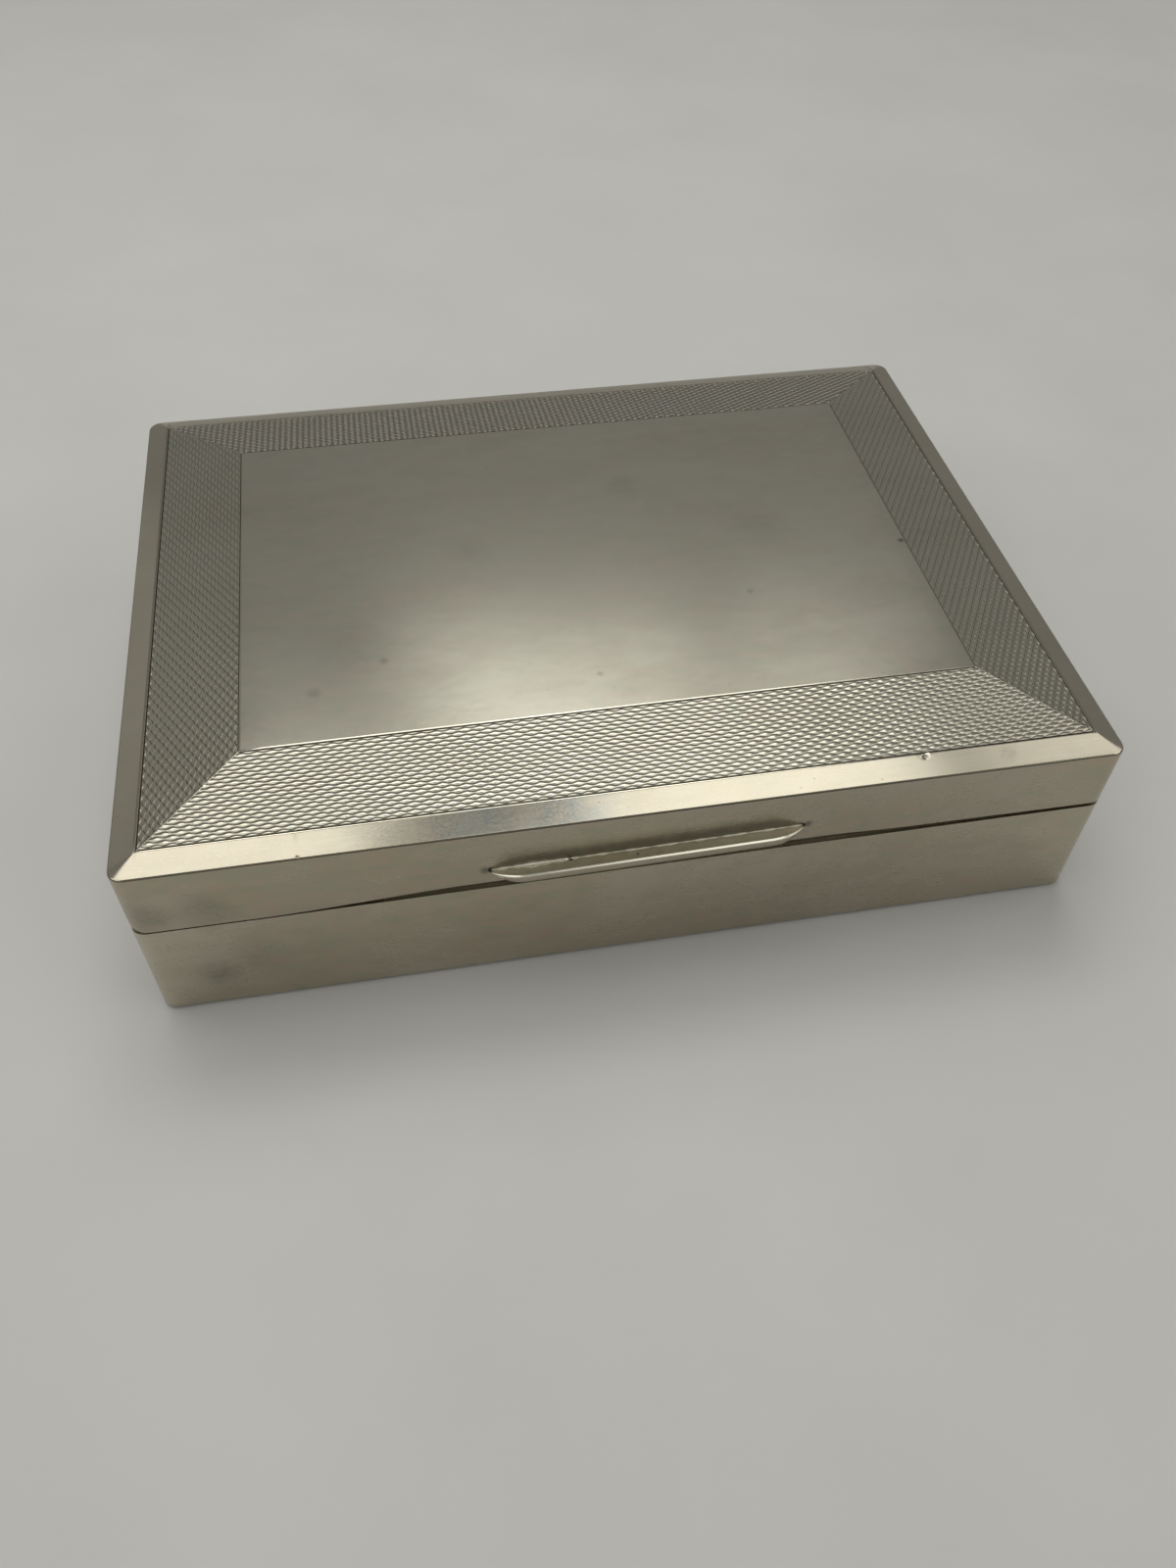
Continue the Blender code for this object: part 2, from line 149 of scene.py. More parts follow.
for lamp_name, lamp_values in LAMPS.items():
    add_lamp(lamp_name, *lamp_values)
table_lamp = add_lamp("lamp_for_table", *TABLE_LAMP, TABLE_LAMP_DISTANCE)
table_lamp.visible_glossy = False
world = bpy.data.worlds.new("studio")
world.use_nodes = True
sky = world.node_tree.nodes["Background"]
sky.inputs["Color"].default_value = WHITE
sky.inputs["Strength"].default_value = WORLD_LEVEL
bpy.context.scene.world = world
bpy.context.scene.view_settings.view_transform = "Standard"
print("lamps:", ", ".join(LAMPS))

# %% [markdown]
# Every finish below is built from nodes by one small helper. It adds a node, applies its settings, sets
# what is given as a value, links what is given as another node's socket, and returns one of its outputs.
# Colours are written as sRGB hex, as a paint chart gives them, and one function turns them to the linear
# values that a shader takes.

# %% Helpers for finishes
def linear(hex_colour):
    """An sRGB hex colour as linear red, green, blue and alpha."""
    channels = [int(hex_colour[place:place + 2], 16) / 255 for place in (0, 2, 4)]
    return (*[c / 12.92 if c <= 0.04045 else ((c + 0.055) / 1.055) ** 2.4 for c in channels], 1.0)


def fill_inputs(tree, node, inputs):
    """Set a node's inputs to values, and link those that are given another node's socket."""
    for socket, value in inputs.items():
        if isinstance(value, bpy.types.NodeSocket):
            tree.links.new(value, node.inputs[socket])
        else:
            node.inputs[socket].default_value = value


def add_node(tree, kind, inputs, output=0, **settings):
    """Add a node with its settings and inputs, and return one of its outputs."""
    node = tree.nodes.new("ShaderNode" + kind)
    for name, value in settings.items():
        setattr(node, name, value)
    fill_inputs(tree, node, inputs)
    return node.outputs[output]


def new_finish(name, roughness, metallic=0.0):
    """A named material, its tree, its shader and its object coordinates."""
    finish = bpy.data.materials.new(name)
    finish.use_nodes = True
    tree = finish.node_tree
    shader = tree.nodes["Principled BSDF"]
    shader.inputs["Roughness"].default_value = roughness
    shader.inputs["Metallic"].default_value = metallic
    return finish, tree, shader, add_node(tree, "TexCoord", {}, "Object")


print("middle grey 808080 in linear light:", round(linear("808080")[0], 3))

# %% [markdown]
# A finish is a base colour with others laid over it, each in its own pattern, drawn at the real size of the
# mark that it stands for. Nearly all of these patterns are soft clouds, so one helper makes a cloud of a
# given size and another lays colours over each other.

# %% Helpers for patterns
NOISE_ROUGHNESS = 0.55
# A Mix node takes its two colours on inputs 6 and 7 and gives their blend on output 2
MIX_COLOUR = 2


def cloudy(tree, vector, size, detail=3.0, low=0.35, high=0.65):
    """Cloudy pattern whose lumps are about one size across, stretched to run from 0 to 1."""
    cloud = add_node(tree, "TexNoise", {
        "Vector": vector, "Scale": 1 / size, "Detail": detail, "Roughness": NOISE_ROUGHNESS})
    return add_node(tree, "MapRange", {"Value": cloud, "From Min": low, "From Max": high})


def layered(tree, base, layers):
    """Colours laid over a base, each (pattern, strength, colour), and a colour a hex value or a socket."""
    colour = linear(base)
    for share, strength, layer in layers:
        if strength < 1:
            share = add_node(tree, "Math", {0: share, 1: strength}, operation="MULTIPLY")
        layer = linear(layer) if isinstance(layer, str) else layer
        colour = add_node(
            tree, "Mix", {"Factor": share, 6: colour, 7: layer}, MIX_COLOUR, data_type="RGBA")
    return colour


def clouded(name, roughness, metallic, size, dark, pale, detail=4.0, low=0.35, high=0.65, scale=None):
    """A plain finish: two colours in soft clouds of one size, drawn out where it is given a scale."""
    finish, tree, shader, place = new_finish(name, roughness, metallic)
    if scale:
        place = add_node(tree, "Mapping", {"Vector": place, "Scale": scale})
    cloud = cloudy(tree, place, size, detail, low, high)
    fill_inputs(tree, shader, {"Base Color": layered(tree, dark, [(cloud, 1, pale)])})
    return finish


print("clouds: each finer step keeps", NOISE_ROUGHNESS, "of the one before")

# %% [markdown]
# Sterling silver, hand finished with fine abrasive: a warm white metal whose satin skin spreads what it
# mirrors. Years of handling leave thin yellow-brown tarnish in clouds, darker marks where fingers rested,
# tiny pits, and fine streaks along the walls. Their colours and sizes come first, and some of these colours
# also serve for painted shade. A real hairline is a few hundredths of a millimetre wide and wouldn't show,
# so hairlines are drawn about 0.1 mm wide.

# %% Silver: colours and sizes
SILVER = "DDD9C5"
# The wall colours hold painted shade as well as tarnish: the lid's wall is painted darker than the base's
LID_WALL_TARNISH_AND_SHADE = "B6AF9E"
BASE_WALL_TARNISH_AND_SHADE = "C3BCAA"
# The back band is painted darker than the front: painted shade
BACK_BAND_SHADE = "B9B5A5"
# Dark grey of painted shade along the shoulder
SHOULDER_PAINTED_SHADE = "7A7363"
BORDER_SILVER = "DBD3BC"
# Grey of a painted reflection on the front border
PAINTED_REFLECTION_GREY = "C0C6C1"
SCRATCH = "F2EFE6"
PINK_TARNISH = "BAA48F"
GREEN_TARNISH = "A2A38A"
# Dark of stains and pits, used also for painted shade and painted reflection
SMUDGE_AND_SHADE = "555650"
GROOVE = "2A261C"
CLOUD_SIZE = 14 * MM
CLOUD_SCALE = (0.5, 1, 1)
MOTTLE_SIZE = 3 * MM
HUE_SIZE = 2.6 * MM
STREAK_SIZE = 0.35 * MM
LINE_SCALE = (0.02, 1, 1)
GRAIN_SIZE = 0.25 * MM
GRAIN_HEIGHT = 0.00045 * MM
WAVE_SIZE = 28 * MM
WAVE_HEIGHT = 0.03 * MM
print("clean silver", SILVER, "tarnishes towards", PINK_TARNISH, "and", GREEN_TARNISH)

# %% [markdown]
# Three patterns are drawn on the silver. Pits are cells of a Voronoi texture, with two in three left out.
# Hairlines are a noise drawn out in two directions, as a polishing cloth leaves them. Stains, and patches
# of painted shade and painted reflection, lie at given places and are broken up by mottle, so that none
# shows as a round spot.

# %% Silver: pits, hairlines, stains and painted shade
PIT_SPACING = 2.2 * MM
PIT_RADIUS_SHARE = 0.09
PIT_THRESHOLD = 0.66
HAIRLINE_SIZE = 0.13 * MM
HAIRLINE_TURNS = (24, -52)


def pits(tree, place):
    """Tiny dark specks, in one cell in three of a Voronoi pattern."""
    cells = add_node(tree, "TexVoronoi", {"Vector": place, "Scale": 1 / PIT_SPACING}).node.outputs
    near = add_node(tree, "MapRange", {
        "Value": cells["Distance"], "From Min": PIT_RADIUS_SHARE, "From Max": 0.0})
    chance = add_node(tree, "SeparateColor", {"Color": cells["Color"]})
    rare = add_node(tree, "Math", {0: chance, 1: PIT_THRESHOLD}, operation="GREATER_THAN")
    return add_node(tree, "Math", {0: near, 1: rare}, operation="MULTIPLY")


def greatest(tree, patterns):
    """The greatest of several patterns at each place."""
    total = patterns[0]
    for pattern in patterns[1:]:
        total = add_node(tree, "Math", {0: total, 1: pattern}, operation="MAXIMUM")
    return total


def hairlines(tree, place):
    """Fine scratches from a polishing cloth, in two directions."""
    lines = []
    for turn in HAIRLINE_TURNS:
        turned = add_node(tree, "Mapping", {"Vector": place, "Rotation": (0, 0, math.radians(turn))})
        drawn = add_node(tree, "Mapping", {"Vector": turned, "Scale": LINE_SCALE})
        lines.append(cloudy(tree, drawn, HAIRLINE_SIZE, 1.0, 0.66, 0.74))
    return greatest(tree, lines)


def stains_and_painted_shade(tree, place, spots, mottle_size, mottle_low):
    """Stains and painted shade, each (x, y, z, radius, strength) in millimetres, broken up by mottle."""
    drawn = add_node(tree, "Mapping", {"Vector": place, "Scale": CLOUD_SCALE})
    mottle = cloudy(tree, drawn, mottle_size, 6.0, mottle_low, 0.70)
    stains_and_shade = []
    for x, y, z, radius, strength in spots:
        centre = Vector((x, y, z)) * MM
        away = add_node(tree, "VectorMath", {0: place, 1: centre}, "Value", operation="DISTANCE")
        near = add_node(tree, "MapRange", {
            "Value": away, "From Min": radius * MM, "From Max": 0.0, "To Max": strength},
            interpolation_type="SMOOTHSTEP")
        stains_and_shade.append(add_node(tree, "Math", {0: near, 1: mottle}, operation="MULTIPLY"))
    return greatest(tree, stains_and_shade)


print("hairlines run at", HAIRLINE_TURNS, "degrees, pits", round(PIT_SPACING / MM, 1), "mm apart")

# %% [markdown]
# The finish is metallic, with tarnish in its colour, streaks and clouds in its roughness, and a very shallow
# bump for the skin and for the slight waves of thin sheet. In the engine turning an attribute of the mesh,
# groove, is 1 at the bottom of a cut, and the silver is darker there.

# %% Silver: the satin finish
STAIN_MOTTLE_SIZE = 1.2 * MM
STAIN_MOTTLE_LOW = -0.1
REFLECTION_MOTTLE_SCALE = 4
PIT_STRENGTH = 0.6
SMOOTHER, ROUGHER = -0.02, 0.06


def satin_silver(name, roughness, clean, dulling, streaking, spots=(), painted_reflection_spots=(), scratched=0.0,
                 grooved=0.0, mottle_size=STAIN_MOTTLE_SIZE, mottle_low=STAIN_MOTTLE_LOW):
    """Satin silver streaked along the width, with tarnish, scratches, stains, painted shade and reflection.
    """
    finish, tree, shader, place = new_finish(name, roughness, 1.0)
    drawn = add_node(tree, "Mapping", {"Vector": place, "Scale": CLOUD_SCALE})
    clouds = cloudy(tree, drawn, CLOUD_SIZE, 4.0, 0.36, 0.66)
    mottle = cloudy(tree, drawn, MOTTLE_SIZE, 6.0, 0.40, 0.72)
    lines = add_node(tree, "Mapping", {"Vector": place, "Scale": LINE_SCALE})
    streaks = add_node(tree, "Math", {
        0: cloudy(tree, lines, STREAK_SIZE, 2.0, 0.30, 0.70), 1: streaking}, operation="MULTIPLY")
    speckled = add_node(tree, "Math", {0: mottle, 1: dulling / 2}, operation="MULTIPLY")
    dull = add_node(tree, "Math", {0: clouds, 1: dulling, 2: speckled}, operation="MULTIPLY_ADD")
    hue = cloudy(tree, drawn, HUE_SIZE, 3.0, 0.42, 0.58)
    tarnish = layered(tree, PINK_TARNISH, [(hue, 1, GREEN_TARNISH)])
    layers = [(dull, 1, tarnish), (pits(tree, place), PIT_STRENGTH, SMUDGE_AND_SHADE)]
    # A painted reflection, in grey patches
    if painted_reflection_spots:
        painted_reflection = stains_and_painted_shade(tree, place, painted_reflection_spots, REFLECTION_MOTTLE_SCALE * mottle_size, mottle_low)
        layers.append((painted_reflection, 1, PAINTED_REFLECTION_GREY))
    if spots:
        layers.append((stains_and_painted_shade(tree, place, spots, mottle_size, mottle_low), 1, SMUDGE_AND_SHADE))
    if scratched:
        layers.append((hairlines(tree, place), scratched, SCRATCH))
    if grooved:
        layers.append((add_node(tree, "Attribute", {}, "Fac", attribute_name="groove"), grooved, GROOVE))
    worn = add_node(tree, "Math", {0: streaks, 1: dull}, operation="ADD")
    rough = add_node(tree, "MapRange", {
        "Value": worn, "From Max": 1.0, "To Min": roughness + SMOOTHER, "To Max": roughness + ROUGHER})
    wave = cloudy(tree, place, WAVE_SIZE, 1.0, 0.0, 1.0)
    waved = add_node(tree, "Bump", {"Height": wave, "Distance": WAVE_HEIGHT, "Strength": 1.0})
    grain = cloudy(tree, place, GRAIN_SIZE, 2.0, 0.0, 1.0)
    rubbed = add_node(tree, "Math", {0: grain, 1: streaks}, operation="ADD")
    skin = add_node(tree, "Bump", {
        "Height": rubbed, "Distance": GRAIN_HEIGHT, "Strength": 1.0, "Normal": waved})
    fill_inputs(tree, shader, {
        "Base Color": layered(tree, clean, layers), "Roughness": rough, "Normal": skin})
    return finish


plain_silver = satin_silver("filed_silver", 0.26, SILVER, 0.3, 0.2)
print("first silver finish:", plain_silver.name, "with", len(plain_silver.node_tree.nodes), "nodes")

# %% [markdown]
# Stains lie where the real box has them: on the panel, at the left end of both walls and round the tips of
# the thumb ledge. The wall above the ledge gets a painted shadow of the ledge: a row of dark patches that
# follows the ledge's slope. Dark patches along the left half of the front border, with grey ones among
# them, are a painted reflection of something dark overhead, and the dent in the border is painted dark.

# %% Silver: where it is stained and where shade is painted
# A stain or painted patch is its place x, y, z and its radius, all in millimetres, and then its strength
top = round(lid_high.z / MM, 1)
front = round(lid_low.y / MM, 1)
border = (-58.4, 37.2)
LID_SPOTS = (
    (-44, -18, top, 12.0, 0.15), (-62, -34, top, 9.0, 0.18), (-30, -36, top, 14.0, 0.15),
    (61.5, -5, top, 1.0, 0.9), (29, -15, top, 0.9, 0.5), (-38, -23, top, 1.4, 0.4),
    (-2, -32, top, 0.9, 0.5), (-50, -29, top, 1.8, 0.35), (12, 21, top, 5.0, 0.15),
    (-20, 4, top, 6.0, 0.12), (36, 4, top, 8.0, 0.12),
)
# A painted shadow of the ledge on the wall above it, drawn as a row of dark patches along its slope
SHADOW_HEIGHT, SHADOW_SLOPE = 29.8, 0.022
SHADOW_RADIUS, SHADOW_STRENGTH = 4.4, 0.47
SHADOW_PLACES = range(-21, 24, 2)
ledge_shadow = tuple(
    (x, front, SHADOW_HEIGHT + SHADOW_SLOPE * x, SHADOW_RADIUS, SHADOW_STRENGTH) for x in SHADOW_PLACES)
WALL_STAINS_AND_SHADE = (
    (-79, front, 26.5, 6.0, 0.4), (-70, front, 27.0, 7.0, 0.33), (25, front, 20.0, 48.0, 0.16),
    (-25.8, front, 27.7, 1.4, 1.1), (28.0, front, 28.8, 1.4, 1.1),
    (-71, front, 9.0, 6.0, 0.45), (-64, front, 12.0, 8.0, 0.22),
) + ledge_shadow
LEDGE_SPOTS = (
    (-25.4, front, 27.6, 1.2, 2.0), (27.6, front, 28.7, 1.2, 2.0),
    (-11.8, -60.8, 27.9, 0.5, 2.4), (-1.0, -61.8, 28.2, 0.4, 1.6),
)
# Dark patches on the left half of the front border are a painted reflection; the small one at 47.75 paints
# the dent dark
BORDER_STAINS_AND_REFLECTION = (
    (-40, *border, 8.0, 0.25), (-32, *border, 9.0, 0.28), (-23, *border, 9.0, 0.32),
    (-14, *border, 9.0, 0.32), (47.75, -56.75, 37.75, 0.7, 2.0), (62, -58.0, 37.3, 2.5, 0.3),
)
# Grey patches of the same painted reflection on the front border
BORDER_PAINTED_REFLECTION = ((-26, *border, 11.0, 0.9), (-12, *border, 12.0, 0.9))
print("stains on the panel", len(LID_SPOTS), "walls", len(WALL_STAINS_AND_SHADE), "border", len(BORDER_STAINS_AND_REFLECTION))

# %% [markdown]
# One function now gives every face its own share of wear. The panel is scratched but clean, the walls are
# duller and browner, with painted shade over their tarnish that makes the lid's wall darker than the base's.
# The border is polished bright, and the ledge's rim is worn by thumbs. A dark line of painted shade runs
# along the shoulder, and the back band is painted darker than the front. The cuts are painted blackest in
# the front band, where the pillows between them are brightest: painted shade over the same tarnish.

# %% Silver: the finishes of this box
# The front band's cuts are painted blacker than the others': painted shade over the same tarnish
FRONT_GROOVE_DARKNESS = 0.82
SIDE_GROOVE_DARKNESS = 0.42
SPECKLE_SIZE = 0.3 * MM
SPECKLE_LOW = 0.3

lid_silver = satin_silver("satin_silver_lid", 0.20, SILVER, 0.26, 0.12, LID_SPOTS, scratched=0.16)
# The walls: tarnish, and painted shade that makes the lid's wall darker than the base's
lid_wall_tarnish_and_shade = satin_silver("tarnished_and_shaded_silver_lid_wall", 0.27, LID_WALL_TARNISH_AND_SHADE, 0.45, 0.2, WALL_STAINS_AND_SHADE)
base_wall_tarnish_and_shade = satin_silver("tarnished_and_shaded_silver_base_wall", 0.27, BASE_WALL_TARNISH_AND_SHADE, 0.45, 0.2, WALL_STAINS_AND_SHADE)
# A dark line of painted shade along the shoulder
shoulder_painted_shade_silver = satin_silver("silver_shoulder_painted_shade", 0.24, SHOULDER_PAINTED_SHADE, 0.2, 0.2)
border_silver_with_reflection = satin_silver(
    "polished_silver_border_with_painted_reflection", 0.15, BORDER_SILVER, 0.15, 0.3, BORDER_STAINS_AND_REFLECTION, BORDER_PAINTED_REFLECTION, 0.22,
    mottle_size=SPECKLE_SIZE, mottle_low=SPECKLE_LOW)
# The back band's darker colour is painted shade
turned_silver, side_silver, back_band_shaded_silver = [
    satin_silver("engine_turned_silver" + part, roughness, clean, dulling, 0.0, grooved=darkness)
    for part, roughness, clean, dulling, darkness in (
        ("", 0.18, SILVER, 0.15, FRONT_GROOVE_DARKNESS), ("_sides", 0.18, SILVER, 0.15, SIDE_GROOVE_DARKNESS),
        ("_back", 0.22, BACK_BAND_SHADE, 0.25, SIDE_GROOVE_DARKNESS))]
ledge_silver = satin_silver("thumb_worn_silver", 0.16, SILVER, 0.1, 0.2, LEDGE_SPOTS)
print("silver finishes:", lid_silver.name, lid_wall_tarnish_and_shade.name, border_silver_with_reflection.name, turned_silver.name)

# %% [markdown]
# Where two sheets meet and at the bottom of each cut, silver goes nearly black, because no cloth reaches it.
# The recess that the engine-turned bands lie in gets this finish.

# %% Blackened silver
blackened = clouded("blackened_silver", 0.6, 1.0, 1.5 * MM, "3A362C", "5A5444")
print("finish for the cuts:", blackened.name)

# %% [markdown]
# The table is plain painted board: pale grey, a little warm, with a faint cloudiness. It is part of the
# studio and not of the object.

# %% Table
TABLE_SIZE = 6.0
TABLE_DROP = 0.05 * MM

table_paint = clouded("painted_board", 0.55, 0.0, 60 * MM, "BBBAB4", "C0BFBA", low=0.3, high=0.7)
bpy.ops.object.select_all(action="DESELECT")
bpy.ops.mesh.primitive_plane_add(size=TABLE_SIZE, location=(0, 0, -TABLE_DROP))
table = bpy.context.object
table.name = "table"
table.data.materials.append(table_paint)
print("table", TABLE_SIZE, "m")

# %% [markdown]
# The outside of the box is modelled as by hand, and each piece of it starts as a primitive. The first, the
# lid's case, starts here as a plain block at its size and place. Its scale is applied at once, so that a
# bevel is as wide one way as the other.

# %% Lid case: a block to start from
def start_block(name, low, high):
    """A cube primitive that fills the space between two corners."""
    bpy.ops.object.select_all(action="DESELECT")
    bpy.ops.mesh.primitive_cube_add(size=1, location=(low + high) / 2)
    piece = bpy.context.object
    piece.name = piece.data.name = name
    piece.scale = high - low
    bpy.ops.object.transform_apply(location=True, rotation=True, scale=True)
    return piece


lid_case = start_block("lid_case", lid_low, Vector((lid_high.x, lid_high.y, lid_edge)))
print("lid case starts as a block of", [round(size / MM, 1) for size in lid_case.dimensions], "mm")

# %% [markdown]
# Faces and edges are then selected by where they lie or which way they face, and edit-mode tools shape them.
# These helpers do the small steps that come back for every piece.

# %% Helpers for modelling
# A face counts as level when its normal's height is over this, out of 1
LEVEL = 0.9


def choose(piece, kind, test):
    """In edit mode, select the vertices, edges or faces that pass a test, and nothing else."""
    bpy.ops.mesh.select_mode(type=kind)
    bpy.ops.mesh.select_all(action="DESELECT")
    mesh = bmesh.from_edit_mesh(piece.data)
    items = {"VERT": mesh.verts, "EDGE": mesh.edges, "FACE": mesh.faces}[kind]
    chosen = [item for item in items if test(item)]
    for item in chosen:
        item.select_set(True)
    mesh.select_flush_mode()
    bmesh.update_edit_mesh(piece.data)
    return len(chosen)


def only(piece):
    """Select and activate one object alone."""
    bpy.ops.object.select_all(action="DESELECT")
    piece.select_set(True)
    bpy.context.view_layer.objects.active = piece


def edit(piece):
    """Enter edit mode on one object alone."""
    only(piece)
    bpy.ops.object.mode_set(mode="EDIT")


def leave():
    """Go back to object mode."""
    bpy.ops.object.mode_set(mode="OBJECT")


def add_modifier(piece, kind, **settings):
    """Add a modifier with its settings and apply it at once."""
    only(piece)
    modifier = piece.modifiers.new(kind.lower(), kind)
    for name, value in settings.items():
        setattr(modifier, name, value)
    bpy.ops.object.modifier_apply(modifier=modifier.name)


def facing_up(face):
    """True for a face that looks up, or nearly so."""
    return face.normal.z > LEVEL


def facing_down(face):
    """True for a face that looks down, or nearly so."""
    return face.normal.z < -LEVEL


edit(lid_case)
print("faces that look up on the block:", choose(lid_case, "FACE", facing_up))
leave()

# %% [markdown]
# The lid's case is raised from one sheet: low walls, a soft shoulder, a plain sloping border, a sloping band
# for the engine turning and a flat panel. By hand that is a block whose top face is inset and lifted again
# and again. A hair-thin step on each side of the band is the edge that polishing has eased. The upright
# corners are bevelled and the bottom is taken out, because the sheet gets its thickness later.

# %% Lid case: the outer shape
CORNER_STEPS = 8
BORDER_EASE, BORDER_EASE_RISE = 0.34 * MM, 0.055 * MM
PANEL_EASE, PANEL_EASE_RISE = 0.34 * MM, 0.063 * MM


def upright(edge):
    """True for an edge that stands straight up."""
    first, second = (vertex.co for vertex in edge.verts)
    return abs(first.x - second.x) < TOUCH and abs(first.y - second.y) < TOUCH


edit(lid_case)
choose(lid_case, "FACE", facing_up)
for width, rise in (
    (BORDER_WIDTH - BORDER_EASE, BORDER_RISE - BORDER_EASE_RISE), (BORDER_EASE, BORDER_EASE_RISE),
    (BAND_WIDTH, BAND_RISE - PANEL_EASE_RISE), (PANEL_EASE, PANEL_EASE_RISE),
):
    bpy.ops.mesh.inset(thickness=width)
    bpy.ops.transform.translate(value=(0, 0, rise))
choose(lid_case, "EDGE", upright)
bpy.ops.mesh.bevel(offset=CORNER_RADIUS, segments=CORNER_STEPS, affect="EDGES")
choose(lid_case, "FACE", facing_down)
bpy.ops.mesh.delete(type="FACE")
leave()
print("lid case faces:", len(lid_case.data.polygons))

# %% [markdown]
# The border turns each corner as part of a cone: its outer edge follows the round corner of the wall, and
# its inner edge comes to a point. Bevelling the upright edge left a small fan of faces that starts part of
# the way down the mitre. Sliding the fan's tip up the mitre to the inner corner makes the whole turn round,
# as polishing left it on the real lid. Then the shoulder, where wall and border meet, is bevelled too.

# %% Lid case: round turns of the border
SHOULDER_RADIUS = 0.32 * MM
SHOULDER_STEPS = 6
# A face counts as upright when its normal's height is under this, out of 1
STEEP = 0.1


def at_level(level, edge):
    """True for an edge that lies at one level."""
    return all(abs(vertex.co.z - level) < TOUCH for vertex in edge.verts)


def border_mitre(edge):
    """True for the slanting edge between two plain borders, up to the eased strip."""
    heights = sorted(vertex.co.z for vertex in edge.verts)
    slanting = heights[1] - heights[0] > TOUCH and heights[0] > lid_edge + TOUCH
    return slanting and heights[1] < border_top - BORDER_EASE_RISE + TOUCH


edit(lid_case)
mitres = choose(lid_case, "EDGE", border_mitre)
mesh = bmesh.from_edit_mesh(lid_case.data)
slides = []
for mitre in [edge for edge in mesh.edges if edge.select]:
    tip, corner = sorted((vertex.co.copy() for vertex in mitre.verts), key=lambda place: place.z)
    slides.append((tip, corner))
for tip, corner in slides:
    choose(lid_case, "VERT", lambda vertex: (vertex.co - tip).length < TOUCH)
    bpy.ops.transform.translate(value=corner - tip)
bpy.ops.mesh.select_all(action="SELECT")
bpy.ops.mesh.remove_doubles(threshold=TOUCH)
choose(lid_case, "EDGE", lambda edge: at_level(lid_edge, edge)
       and any(abs(face.normal.z) < STEEP for face in edge.link_faces))
bpy.ops.mesh.bevel(offset=SHOULDER_RADIUS, segments=SHOULDER_STEPS, affect="EDGES")
leave()
print("mitres turned round:", mitres, "faces:", len(lid_case.data.polygons))

# %% [markdown]
# Thin sheet never stays straight. On this box the lid's front edge and the base's front edge both bow, so
# the dark parting line between them is hair thin at the left and widest beside the thumb ledge. A few
# listed heights, joined smoothly, give each edge its line.

# %% Bowed front edges
# Places across the front, from the middle, and heights, in millimetres
LID_LINE = (
    (-82.5, 24.1), (-79.5, 22.87), (-62, 22.87), (-27, 24.4),
    (0, 24.9), (32, 25.0), (46, 24.45), (82.5, 24.25),
)
BASE_LINE = ((-82.5, 22.58), (-62, 22.58), (-45, 22.76), (-30, 22.85), (30, 23.3), (82.5, 23.42))
BLEND_BACK = 30 * MM
BOW_REACH = 5 * MM


def line_height(line, x):
    """Height of a line given by its points, at a place across the front, eased between its points."""
    x = x / MM
    for (start, low), (end, high) in zip(line, line[1:]):
        if x <= end:
            share = max(0.0, (x - start) / (end - start))
            share = share * share * (3 - 2 * share)
            return (low + (high - low) * share) * MM
    return line[-1][1] * MM


def bow_edge(piece, line, level):
    """Move the vertices at one level to a line along the front, fading out along the sides."""
    for vertex in piece.data.vertices:
        share = 1 - abs(vertex.co.z - level) / BOW_REACH
        back = 1 - (vertex.co.y - lid_low.y - CORNER_RADIUS) / BLEND_BACK
        if share > 0 and back > 0:
            shift = line_height(line, vertex.co.x) - level
            vertex.co.z += shift * share * min(1.0, back)


for slit_name, slit_place in (("left", -half_width), ("middle", 0), ("right", half_width)):
    slit = line_height(LID_LINE, slit_place) - line_height(BASE_LINE, slit_place)
    print(f"parting line at the {slit_name}: {slit / MM:.2f} mm high")

# %% [markdown]
# Cuts across the lid every few millimetres give the front wall vertices to bow with. Bisect makes them, one
# plane at a time. Four more cuts near the corners mark where the turn of the border dies out into its
# straight runs: soon along the front, and more slowly along the sides. Solidify then gives the sheet its
# thickness inwards, so the outside keeps its size.

# %% Lid case: bowed front edge
TURN_FRONT = 1.2 * MM
TURN_SIDE = 3.0 * MM
CUT_SPACING = 4 * MM
last_cut = half_width - CUT_SPACING


def cut_across(piece, start, end, spacing, axis=(1, 0, 0)):
    """Bisect a piece with planes at even places between two, square to an axis."""
    edit(piece)
    count = round((end - start) / spacing)
    for index in range(count + 1):
        bpy.ops.mesh.select_all(action="SELECT")
        place = Vector(axis) * (start + (end - start) * index / count)
        bpy.ops.mesh.bisect(plane_co=place, plane_no=axis)
    leave()
    return count + 1


wall_cuts = cut_across(lid_case, -last_cut, last_cut, CUT_SPACING)
turn_x = half_width - BORDER_WIDTH + BORDER_EASE - TURN_FRONT
turn_y = half_depth - BORDER_WIDTH + BORDER_EASE - TURN_SIDE
wall_cuts += cut_across(lid_case, -turn_x, turn_x, 2 * turn_x)
wall_cuts += cut_across(lid_case, middle_y - turn_y, middle_y + turn_y, 2 * turn_y, (0, 1, 0))
bow_edge(lid_case, LID_LINE, lid_low.z)
add_modifier(lid_case, "SOLIDIFY", thickness=SHEET, offset=-1, use_even_offset=True)
print("cuts across the lid:", wall_cuts, "faces:", len(lid_case.data.polygons))

# %% [markdown]
# The engine-turned bands are separate pieces here, so that each can hold its fine relief. They lie in a
# shallow recess that runs round the lid, pressed in from the outside. Its floor is blackened, which draws
# the dark line seen round every band. The other faces get the finish of wall, border or shoulder, chosen by
# their height and by the way they face. What isn't chosen keeps the panel's finish.

